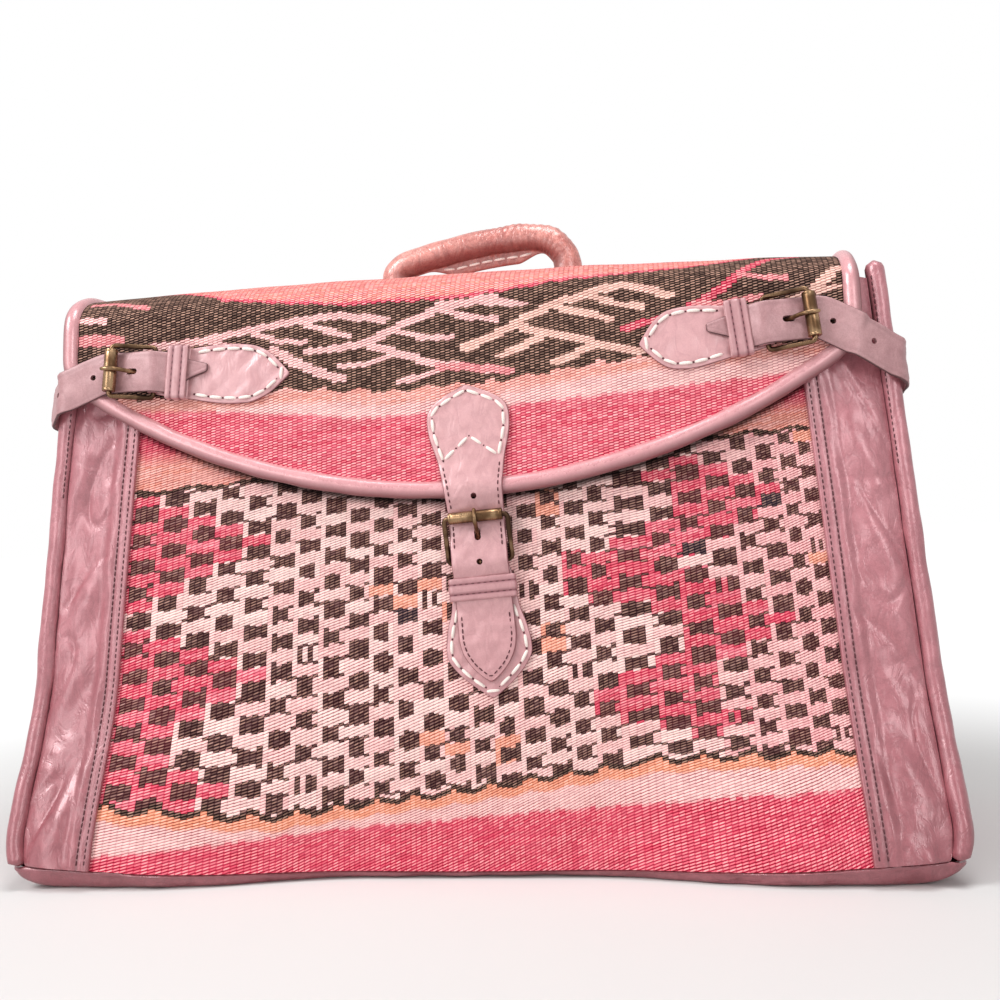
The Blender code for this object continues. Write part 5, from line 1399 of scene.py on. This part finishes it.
# stitched lines pressed in near a band's edges: distance in, depth, width, and how far the middle is raised
tabGroove = (0.0030, 0.0003, 0.0009, 0.0003)
sideGroove = (0.0028, 0.0002, 0.0006, 0.0002)
centreGroove = (0.0022, 0.0003, 0.0007, 0.0003)
bandColumns = 15
bandBevel = (0, 0.06, 0.22, 0.5)  # places across a rounded cut edge, as shares of half the thickness


def leatherBand(middleAt, halves, thickness, out, groove, wear=0.0002, seed=3):
    # a strip of leather with rounded cut edges: middleAt(row, w) is a place on its middle
    half = thickness / 2
    bevel = np.array(bandBevel) * half
    halves = np.asarray(halves)[:, None]
    rim = np.minimum(bevel[None], halves * 0.9)
    flat = np.linspace(-1, 1, bandColumns) * np.clip(halves - half, 0.00005, None)
    w = np.concatenate([rim - halves, flat, halves - rim[:, ::-1]], 1)
    t = rounded(np.concatenate([bevel, np.full(bandColumns, half), bevel[::-1]]) / half)
    middle = middleAt(np.arange(len(halves))[:, None], w)
    normal = squareTo(middle)
    normal *= np.sign(np.sum(normal[len(normal) // 2, 2] * out))
    step = travelled(middle[:, len(t) // 2])
    end = rounded(np.minimum(step, step[-1] - step) / half, 0.1)
    thick = half * t[None] * end[:, None]
    inset, depth, width, crown = groove
    pressed = crown * (1 - (w / np.maximum(halves, 1e-4)) ** 2)
    pressed = pressed - depth * bell(halves - np.abs(w) - inset, width)
    top = middle + normal * thick[..., None] + normal * (pressed * (t > 0.9)[None])[..., None]
    top = top + normal * (wear * ripple(top, seed, 0.011) * (t > 0.5)[None])[..., None]
    bottom = middle - normal * thick[..., None]
    loop = np.concatenate([top, bottom[:, -2:0:-1]], 1)
    index = numbered(loop)
    faces = quads(index, wrapColumns=True)
    count = middle.shape[1]
    for row in (index[0], index[-1]):
        under = np.concatenate([row[:1], row[count:][::-1], row[count - 1 : count]])
        faces += quads(np.stack([row[:count], under]))[1:-1]
        faces += [[int(row[0]), int(row[1]), int(under[1])],
                  [int(row[count - 2]), int(row[count - 1]), int(under[count - 2])]]
    isEdge = np.concatenate([t < 0.85, (t < 0.85)[-2:0:-1]])[None]
    cut = np.maximum(isEdge, end[:, None] < 0.7) * np.ones(loop.shape[:2])
    cut[:, :count] += np.clip(-pressed / 0.0008, 0, 0.4)
    return loop, faces, cut


def drill(piece, centre, axes, hole):
    # a round-ended hole cut right through a piece of leather
    ahead, across, out = axes
    halfLength, halfWidth, depth = hole
    angles = np.arange(16) * pi / 8 + pi / 16
    u = halfWidth * np.cos(angles) + (halfLength - halfWidth) * np.sign(np.cos(angles))
    ring = centre + u[:, None] * ahead + (halfWidth * np.sin(angles))[:, None] * across
    rings = np.stack([ring - out * depth, ring + out * depth])
    mesh = closedMesh("punch", rings, closedTube(rings))
    punch = addObject("punch", mesh)
    cut = piece.modifiers.new("hole", "BOOLEAN")
    cut.operation = "DIFFERENCE"
    cut.object = punch
    shaped = bpy.data.meshes.new_from_object(piece.evaluated_get(bpy.context.evaluated_depsgraph_get()))
    old, name = piece.data, piece.data.name
    piece.modifiers.clear()
    piece.data = shaped
    bpy.data.meshes.remove(old)
    shaped.name = name
    bpy.data.objects.remove(punch)
    bpy.data.meshes.remove(mesh)


def shapeLine(shape, spacing=0.0012):
    # a pointed outline from its (distance, half width) pairs, closer together and rounded between them
    u, w = np.array(shape).T
    order = np.argsort(u)
    even = np.linspace(u.min(), u.max(), int((u.max() - u.min()) / spacing) + 2)
    even = np.concatenate([even[:-1], even[-1] - np.array([0.0007, 0.0003, 0.0])])
    wide = np.interp(even, u[order], w[order])
    wide[3:-5] = np.convolve(np.pad(wide, 2, mode="edge"), np.ones(5) / 5, mode="valid")[3:-5]
    return even[::-1], wide[::-1]


def seamLine(u, wide, inset, start):
    # a line a little inside a tab's outline: up one side from start, round the point and back down the other
    outline = np.stack([u, wide], -1)[u > start]
    step = np.gradient(outline, axis=0)
    inward = unit(np.stack([step[:, 1], -step[:, 0]], -1))
    inward *= np.where(inward[:, 1:] > 0, -1, 1)
    line = outline + inward * inset
    line = line[line[:, 1] > 0.0002]
    return soften(resample(np.concatenate([line[::-1] * (1, -1), line]), 0.0008), 2)


def sewnTab(label, one):
    # a leather tab sewn flat by hand; its other end wraps the heel bar and returns on itself
    seat, thick = one["seat"], strapSizes["tab"]
    loop = buckle["wire"] + seamGap + thick / 2
    flat = seamGap + thick / 2
    tabU, wide = shapeLine(one["tab"])
    angles = np.linspace(-pi / 2, -1.9 * pi, 26)
    flatU = [*tabU, 0.0080, 0.0065, 0.0050, 0.0035, 0.002]
    u = np.concatenate([flatU, loop * np.cos(angles), [0.0050, 0.0066]])
    n = np.concatenate([np.full(len(flatU), flat), buckle["heel"] + loop * np.sin(angles),
                        [flat + thick + seamGap * 4, flat + thick + seamGap]])
    halves = np.concatenate([wide, np.full(len(u) - len(wide), one["half"])])
    halves[len(wide) : len(flatU)] = np.linspace(wide[-1], one["half"], 7)[1:-1]

    def place(k, w):
        return seat.onSkin(u[k], w, n[k])

    points, faces, cut = leatherBand(place, halves, thick, seat.out, tabGroove, seed=5)
    piece = putPiece("sewn_tab_" + label, points, faces, "pale", sharp=60, cut=cut,
                     instead=["buckle_tab_" + label])
    drill(piece, seat.rigid(0, 0, buckle["heel"]), seat.axes, tabSlot)
    line = seamLine(tabU, wide, 0.0033, 0.024)
    stitches(seat.onSkin(line[:, 0], line[:, 1], seamGap + thick + 0.0002), seat.out, "white")


keeperShape = {"puff": 0.0003, "press": 0.00045, "rows": (0.28, 0.72), "rowWidth": 0.05, "rim": 0.045}


def keeperLoop(label, one):
    # a flat leather loop round the tab and strap, pressed with rows of stitches
    seat, size, s, inner = one["seat"], strapSizes, keeperShape, one["keeper"]
    thick = size["keeper"]
    low = seamGap + size["tab"] + seamGap
    heights = (low + thick, low + thick + size["strap"] + size["keeperSlack"])
    ring = []
    for edge, height, first in ((1, 0, -pi / 2), (1, 1, 0.0), (-1, 1, pi / 2), (-1, 0, pi)):
        w = edge * (inner + thick / 2 - thick)
        n = heights[height] + (thick / 2 - thick) * (1 if height else -1)
        angle = np.linspace(first, first + pi / 2, 7)
        ring.append(np.stack([w + thick * np.cos(angle), n + thick * np.sin(angle)], -1))
    middle = resample(np.concatenate(ring), 0.0008, closed=True)
    ahead = along(middle, True)
    outward = unit(np.stack([ahead[:, 1], -ahead[:, 0]], -1))
    across = np.array([0, 0.02, 0.08, 0.2, 0.28, 0.34, 0.42, 0.5, 0.58, 0.66, 0.72, 0.8, 0.92, 0.98, 1.0])
    rim = rounded(np.minimum(across, 1 - across) / s["rim"])
    rim[[0, -1]] = 0.2
    puff = s["puff"] * np.sin(pi * across)
    puff = puff - s["press"] * sum(bell(across - row, s["rowWidth"]) for row in s["rows"])
    u = np.concatenate([across, across[::-1]])
    push = np.concatenate([thick / 2 * rim + puff, -thick / 2 * rim[::-1]])
    w = middle[None, :, 0] + outward[None, :, 0] * push[:, None]
    n = middle[None, :, 1] + outward[None, :, 1] * push[:, None]
    points = seat.onSkin((size["keeperStart"] + u * size["keeperLength"])[:, None] + 0 * w, w, n)
    faces = quads(numbered(points), wrapRows=True, wrapColumns=True)
    pressed = sum(bell(u - row, 0.06) for row in s["rows"]) + 0.3
    cut = (pressed * (push > 0))[:, None] * np.ones(points.shape[:2])
    putPiece("loop_" + label, points, faces, "pale", instead=["keeper_" + label], sharp=60, cut=cut)
    w = np.linspace(-inner * 0.96, inner * 0.96, 20)
    top = heights[1] + thick / 2 + 0.0001
    for row in s["rows"]:
        path = seat.onSkin(size["keeperStart"] + row * size["keeperLength"] + 0 * w, w, top + 0 * w)
        stitches(path, seat.out, "dark")


sideRoute = {
    "cornerZ": 0.287, "backZ": 0.268,  # the strap's height at the front corner and where it is sewn behind
    "slack": 0.0020, "sewnLength": 0.030, "cup": 0.0006, "step": 0.0022, "fineEnd": 0.004, "holeStep": 0.026,
    # the tip is cut askew: distance, height of its upper edge, height of its lower edge
    "tip": ((0.0335, 0.0050, 0.0016), (0.0331, 0.0058, 0.0008), (0.0322, 0.0061, 0.0003),
            (0.0218, 0.0084, -0.0040), (0.0190, 0.0095, -0.0060), (0.0140, 0.01275, -0.01275)),
}


def sideStrap(label, hand, one):
    # a strap from its sewn end behind the bag, round the side and the flap's edge, to its tip in the keeper
    seat, thick, s = one["seat"], strapSizes["strap"], sideRoute
    heights = strapLine(one)
    onTab = heights[0][1] - strapSizes["keeper"] - seamGap
    wrap = bag["rollRadius"] + buckle["runningGap"] + thick / 2
    over = flapShape["binding"] + buckle["runningGap"] + thick / 2

    def binding(z):
        x = flapShape["shift"] + hand * flapShape["half"]
        return skin(-1, x, z, flapLevel(x))

    def frontRoll(z):
        return rollCentre(-1, hand, z)

    def backRoll(z):
        return rollCentre(1, hand, z)

    # the strap bends round three upright rounds: what it bends about, how far from it, and which way
    toRoll = frontRoll(s["cornerZ"]) - binding(s["cornerZ"])
    lean = np.arctan2(toRoll[1], hand * toRoll[0])
    stations = [(binding, over, pi / 2 - lean * share) for share in np.linspace(0, 1, 8)]
    stations += [(frontRoll, wrap + s["slack"], angle) for angle in np.linspace(pi / 2 - lean, 0, 12)]
    stations += [(backRoll, wrap, angle) for angle in np.linspace(0, -pi / 2, 12)]
    out = np.array([(hand * cos(angle), -sin(angle)) for _, _, angle in stations])

    def roundAt(drop):
        # the outer line, at the height drop for each station
        centres = np.array([centre(z) for (centre, _, _), z in zip(stations, drop)])
        radii = np.array([radius for _, radius, _ in stations])
        return np.column_stack([centres[:, :2] + out * radii[:, None], drop])

    lastInner = seat.onSkin(heights[-1][0] - 0.003, 0, heights[-1][1])
    levelLine = roundAt(np.full(len(stations), s["cornerZ"]))
    travel = travelled(np.concatenate([[lastInner], levelLine])[:, :2])[1:]
    drop = np.interp(travel, (0, travel[19], travel[20]), (lastInner[2], s["cornerZ"], s["backZ"]))
    outer = roundAt(drop)
    outer = np.concatenate([outer, outer[-1:] - (hand * s["sewnLength"], 0.0, 0.0)])
    tipU, tipTop, tipLow = np.array(s["tip"]).T
    inner = [seat.onSkin(u, 0, onTab) for u in tipU]
    inner += [seat.onSkin(u, 0, n) for u, n in heights] + [lastInner]
    coarse = np.concatenate([inner, outer])
    # the bag leans in, so the strap's outer side looks up a little
    sideLean = (bag["baseHalf"] - bag["topHalf"]) / bag["height"]
    faceLean = (bag["baseDepth"] - bag["frontTopDepth"]) / bag["height"]
    turned = np.column_stack([out, sideLean * np.abs(out[:, 0]) + faceLean * np.abs(out[:, 1])])
    normals = np.concatenate([forEach(inner, seat.out), turned, turned[-1:]])
    half = np.full(len(coarse), one["half"])
    half[: len(tipU)] = (tipTop - tipLow) / 2
    askew = np.zeros(len(coarse))
    askew[: len(tipU)] = -hand * (tipTop + tipLow) / 2
    lengths = travelled(coarse)
    at = np.arange(s["fineEnd"], lengths[-1], s["step"])
    at = np.concatenate([np.linspace(0, s["fineEnd"], 5)[:-1], at, lengths[-1:]])
    middle = readAt(at, lengths, coarse)
    middle[8:-3] = soften(middle, 2)[8:-3]
    halves = np.interp(at, lengths, half)
    askew = np.interp(at, lengths, askew)
    ahead = along(middle)
    normal = unit(np.cross(ahead, np.cross(unit(readAt(at, lengths, normals)), ahead)))
    across = np.cross(normal, ahead)
    acrossSign = np.sign(across[3] @ seat.across)

    def place(k, w):
        w = w + askew[k] * acrossSign
        cup = -s["cup"] * (w / one["half"]) ** 2
        return middle[k] + across[k] * w[..., None] + normal[k] * cup[..., None]

    points, faces, cut = leatherBand(place, halves, thick, seat.out, sideGroove, wear=0.00018, seed=7 + hand)
    piece = putPiece("strap_" + label, points, faces, "strap", sharp=60, cut=cut,
                     instead=["side_strap_" + label])
    emerge = one["emerge"]
    drill(piece, seat.rigid(seamGap - emerge, 0, lineHeight(one, -emerge)), seat.axes, prongHole)
    rollerAt = np.interp(len(inner) - 2.5, np.arange(len(lengths)), lengths)
    for number in (1, 2):
        reach = rollerAt - buckle["length"] + emerge + number * s["holeStep"]
        k = int(np.searchsorted(at, reach))
        drill(piece, readAt(reach, at, middle), (ahead[k], across[k], normal[k]), roundHole)


centreRoute = {
    "step": 0.0012, "headFrom": 0.058, "shoulder": 0.030, "holes": (0.0005, -0.0375),
    "sewn": ((-0.057, -0.0305), (-0.0225, -0.007)), "sewnInset": 0.0026,  # sewn near both edges
    "tipInset": 0.0028, "tipSewnFrom": 0.023, "headInset": 0.0036, "peak": (-0.0730, 0.0),
}


def centreStrap(one):
    # the strap sewn on the flap: over the binding, through the buckle and keeper, its tip on the tab
    seat, thick, s = one["seat"], strapSizes["strap"], centreRoute
    heights = strapLine(one)
    onTab = heights[0][1] - strapSizes["keeper"] - seamGap
    over = flapShape["binding"] + buckle["runningGap"] + thick / 2
    bindU = (flapShape["lowest"] - seat.z) / seat.u[1]
    bindN = float(flapLevel(seat.x)) - seat.level(seat.x)
    onFlapN = bindN + bag["clothThickness"] / 2 + seamGap + thick / 2
    tipU, tipW = shapeLine(centreTip)
    headU, headW = shapeLine(centreHead)
    # distance, height and half width down the strap
    line = [(u, onTab, w) for u, w in zip(tipU, tipW)]
    line += [(u, n, centreHalf) for u, n in heights]
    line += [(bindU + over * sin(a), bindN + over * cos(a), centreHalf) for a in np.linspace(0.4, -0.4, 7)]
    line += [(-u, onFlapN, w) for u, w in zip(headU[::-1], headW[::-1]) if u > s["headFrom"]]
    line = np.array(line)
    upper = line[:, 0] < -s["shoulder"]
    widths = (s["shoulder"], *headU[::-1]), (centreHalf, *headW[::-1])
    line[upper, 2] = np.interp(-line[upper, 0], *widths)
    lengths = travelled(line[:, :2])
    fine = np.concatenate([lengths[:6], np.arange(lengths[6], lengths[-6], s["step"]), lengths[-6:]])
    line = readAt(fine, lengths, line)
    line[8:-8] = soften(line, 4)[8:-8]

    def place(k, w):
        return seat.onSkin(line[k, 0], w, line[k, 1])

    points, faces, cut = leatherBand(place, line[:, 2], thick, seat.out, centreGroove, seed=9)
    piece = putPiece("strap_centre", points, faces, "pale", instead=["centre_strap"], sharp=60, cut=cut)
    emerge = one["emerge"]
    drill(piece, seat.rigid(seamGap - emerge, 0, lineHeight(one, -emerge)), seat.axes, prongHole)
    for u in s["holes"]:
        drill(piece, seat.onSkin(u, 0, float(np.interp(-u, -line[:, 0], line[:, 1]))), seat.axes, roundHole)
    lift = thick / 2 + 0.0001
    for first, last in s["sewn"]:
        u, n, wide = line[(line[:, 0] > first) & (line[:, 0] < last)].T
        for edge in (-1, 1):
            stitches(seat.onSkin(u, edge * (wide - s["sewnInset"]), n + lift), seat.out, "dark")
    tip = seamLine(tipU, tipW, s["tipInset"], s["tipSewnFrom"])
    stitches(seat.onSkin(tip[:, 0], tip[:, 1], onTab + lift), seat.out, "dark")
    head = seamLine(headU, headW, s["headInset"], s["headFrom"]) * (-1, 1)
    for row in (head, resample([head[0], s["peak"]], 0.001), resample([s["peak"], head[-1]], 0.001)):
        stitches(seat.onSkin(row[:, 0], row[:, 1], onFlapN + lift), seat.out, "white")


handleLook = {
    "radius": 0.009, "ringPoints": 33, "seamAngle": 16, "soft": 0.00022,
    "pucker": 0.00024, "puckerStep": 0.0042, "puckerFrom": (0.45, 0.15), "puckerTo": (0.93, 0.1),
    "flange": 0.008, "flangeFrom": 0.20, "flangeFull": 0.36, "flangeHalf": 0.0012,  # the sewn flange's sizes
    # shares of the flange's reach and of its half thickness, round its rim
    "rimReach": (0, 0.3, 0.6, 0.9, 1.0, 1.0, 0.9, 0.6, 0.3, 0),
    "rimSide": (-1, -1, -1, -0.95, -0.5, 0.5, 0.95, 1, 1, 1),
}
# x and height of the handle's middle over its patches
handleLine = ((-0.0530, 0.0), (-0.0530, 0.0010), (-0.0530, 0.0025), (-0.0522, 0.0066), (-0.0498, 0.0102),
              (-0.0455, 0.0128), (-0.0340, 0.0162), (-0.0140, 0.0207), (0.0100, 0.0247), (0.0340, 0.0265),
              (0.0510, 0.0235), (0.0600, 0.0150), (0.0624, 0.0085), (0.0625, 0.0035), (0.0625, 0.0015),
              (0.0625, 0.0))


def curveThrough(points, count):
    # a smooth curve through points, by Catmull-Rom, with count points to each stretch
    points = np.asarray(points, float)
    padded = np.concatenate([[2 * points[0] - points[1]], points, [2 * points[-1] - points[-2]]])
    t = np.linspace(0, 1, count, endpoint=False)[:, None]
    a, b, c, d = (padded[k : len(padded) - 3 + k, None] for k in range(4))
    curve = 0.5 * (2 * b + (c - a) * t + (2 * a - 5 * b + 4 * c - d) * t**2 + (3 * b - a - 3 * c + d) * t**3)
    return np.concatenate([curve.reshape(-1, 2), points[-1:]])


def patchTop(x):
    # height of the top of the patches under the handle
    return topHeight(x) + bag["clothThickness"] / 2 + seamGap + 0.0020


def handleRoll():
    # a rolled handle arched over the top, its sewn flange on the inner side, puckered where it bends
    h, sides = handleLook, handleLook["ringPoints"]
    radius, half = h["radius"], h["flangeHalf"]
    flat = curveThrough(handleLine, 8)
    path = np.column_stack([flat[:, 0], 0 * flat[:, 0], patchTop(0.0) + seamGap + flat[:, 1]])
    path = resample(path, 0.0011)
    length = travelled(path)
    share = length / length[-1]
    grown = smooth((np.minimum(share, 1 - share) - h["flangeFrom"]) / (h["flangeFull"] - h["flangeFrom"]))
    reach = seamGap + h["flange"] * grown
    angles = np.radians(np.linspace(h["seamAngle"], 360 - h["seamAngle"], sides))
    ring = np.stack([np.cos(angles), np.sin(angles)], -1) * radius
    steps, rim = np.array(h["rimReach"]), np.array(h["rimSide"]) * half
    tail = np.stack([radius + reach[:, None] * steps, np.broadcast_to(rim, (len(path), len(rim)))], -1)
    profile = np.concatenate([np.broadcast_to(ring, (len(path), *ring.shape)), tail], 1)
    sideways = forEach(path, [0.0, 1.0, 0.0])
    points, faces = sweep(path, sideways, profile)
    around = np.linspace(0, 2 * pi, points.shape[1])[None, :]
    (first, rise), (last, fall) = h["puckerFrom"], h["puckerTo"]
    pucker = h["pucker"] * smooth((share - first) / rise) * smooth((last - share) / fall)
    wave = pucker[:, None] * np.sin(length[:, None] / h["puckerStep"] * 2 * pi + 2.2 * np.sin(around * 2))
    push = (wave + h["soft"] * ripple(points, 95, 0.020)) * (np.arange(points.shape[1]) < sides)
    points = points + unit(points - path[:, None]) * push[..., None]
    # painted shade: the leather is darker on its lower side towards its seam, and on the flange
    cut = np.concatenate([0.85 * smooth(np.cos(angles) / 1.1 + 0.25), np.full(len(rim), 0.45)])
    cut = cut * np.ones((len(path), 1))
    putPiece("handle", points, faces, "handle", instead=["handle_roll"], sharp=70, cut=cut)
    inward = unit(np.cross(sideways, along(path)))
    inward *= np.sign(-inward[:, 2:])
    for face in (-1, 1):
        line = path + inward * (radius + reach * 0.45)[:, None] + np.array([0, face, 0.0]) * (half + 0.0001)
        stitches(line[reach > 0.004], (0.0, face, 0.0), "handle")


patchShape = {
    "halfX": 0.016, "halfY": 0.018, "sides": 64, "sewnRing": 5,
    # rings from the rim to the middle: share of the half sizes, and height
    "rings": ((1.0, -0.0019), (1.0, -0.0006), (0.985, -0.0001), (0.94, 0.0), (0.84, 0.0), (0.80, -0.0002),
              (0.76, 0.0), (0.5, 0.0003), (0.2, 0.0004)),
}


def handlePatch(label, x):
    # a rounded patch on the top under a foot of the handle, domed a little and sewn round
    p = patchShape
    angles = np.arange(p["sides"]) * 2 * pi / p["sides"]
    rings = []
    for share, height in p["rings"]:
        px = p["halfX"] * share * np.sign(np.cos(angles)) * np.abs(np.cos(angles)) ** 0.5
        py = p["halfY"] * share * np.sign(np.sin(angles)) * np.abs(np.sin(angles)) ** 0.5
        rings.append(np.stack([x + px, py, patchTop(x + px) + height], -1))
    putPiece("patch_" + label, rings, closedTube(np.array(rings)), "handle", sharp=60,
             instead=["handle_patch_" + label])
    sewn = rings[p["sewnRing"]]
    stitches(np.concatenate([sewn, sewn[:1]]), (0.0, 0.0, 1.0), "handle", 0.0002)


frontPanel()
backPanel()
print("kilim panels woven")
rollTops = {(-1, -1): 0.330, (-1, 1): 0.348, (1, -1): bag["trimTop"], (1, 1): bag["trimTop"]}
for side, hand in ((-1, -1), (-1, 1), (1, -1), (1, 1)):
    border(side, hand, bag["panelTop"] if side < 0 else bag["trimTop"])
    edgeRoll(side, hand, rollTops[side, hand])
gussetPanel(-1)
gussetPanel(1)
baseTray()
print("leather body made")
flapKilim()
flapBinding()
print("flap made")
for label, one in fastenings.items():
    for make in (sewnTab, keeperLoop, buckleFrame, buckleRoller, buckleProng):
        make(label, one)
sideStrap("left", -1, fastenings["left"])
sideStrap("right", 1, fastenings["right"])
centreStrap(fastenings["centre"])
print("straps and buckles made")
handleRoll()
handlePatch("left", handleLine[0][0])
handlePatch("right", handleLine[-1][0])
sewStitches()
print("handle and stitches made")

studio = {"world": 0.25, "floor": (226, 225, 224), "fade": (0.30, 0.80)}
lamps = {  # place, target, size, power
    "key": ((-1.7, -1.3, 1.9), (0, 0, 0.18), 1.1, 47.0),
    "window": ((-1.15, -1.92, 0.65), (-0.1, 0, 0.2), 0.9, 8.0),
    "fill": ((1.1, -2.0, 1.0), (0.1, 0, 0.2), 0.7, 9.0),
    "top": ((0.3, -0.5, 2.3), (0, 0, 0.2), 1.0, 24.0),
}
photoView = {"place": (0.111, -0.823, 0.212), "turn": (6.91, 0.51, 2.25), "lens": 45, "sensor": 36}


def studioRoom():
    # a plain pale floor, soft lamps, and a white world for what the camera and the metal see
    mesh = bpy.data.meshes.new("floor")
    mesh.from_pydata([(-6, -4, 0), (6, -4, 0), (6, 8, 0), (-6, 8, 0)], [], [(0, 1, 2, 3)])
    made, shader, start = newMaterial("floor_finish")
    place = start.node("TexCoord", output="Object")
    tone = place.noise(3.0, 2.0).blend(rgb(*studio["floor"]), rgb(*(value - 3 for value in studio["floor"])))
    far = place.node("VectorMath", {"operation": "LENGTH"}, {0: place}, "Value")
    far = far.ramp(*studio["fade"])
    glow = far.blend((0, 0, 0, 1), (1, 1, 1, 1))
    connect(shader, Base_Color=far.blend(tone, (0, 0, 0, 1)), Roughness=0.75, Emission_Color=glow,
            Emission_Strength=1.0, Specular_IOR_Level=0.2)
    mesh.materials.append(made)
    floor = addObject("floor", mesh)
    floor.location.z = -0.0002
    world = bpy.data.worlds.new("studio")
    bpy.context.scene.world = world
    world.use_nodes = True
    start = Wire(world.node_tree)
    back = world.node_tree.nodes["Background"]
    seen = start.node("LightPath", output="Is Camera Ray")
    shine = start.node("LightPath", output="Is Glossy Ray")
    strength = seen.math("MAXIMUM", seen, shine * 0.9) * (1.0 - studio["world"]) + studio["world"]
    world.node_tree.links.new(strength.socket, back.inputs["Strength"])
    back.inputs["Color"].default_value = (1, 1, 1, 1)
    for name, (place, target, size, power) in lamps.items():
        lamp = bpy.data.lights.new(name, "AREA")
        lamp.size, lamp.energy = size, power
        made = addObject(name, lamp)
        made.location = place
        made.rotation_euler = (Vector(target) - Vector(place)).to_track_quat("-Z", "Y").to_euler()


def photoCamera():
    # stands where the photograph was taken from, a little to the right and level with the bag's middle
    camera = bpy.data.cameras.new("camera")
    camera.lens, camera.sensor_width, camera.clip_start = photoView["lens"], photoView["sensor"], 0.01
    aboutZ, aboutX, aboutY = (Matrix.Rotation(radians(angle), 3, axis)
                              for angle, axis in zip(photoView["turn"], "ZXY"))
    right, forward, up = (aboutZ @ aboutX @ aboutY).col
    view = Matrix((right, up, -forward)).transposed().to_4x4()
    view.translation = Vector(photoView["place"])
    made = addObject("camera", camera)
    made.matrix_world = view
    bpy.context.scene.camera = made


studioRoom()
photoCamera()
bpy.context.scene.view_settings.view_transform = "Standard"
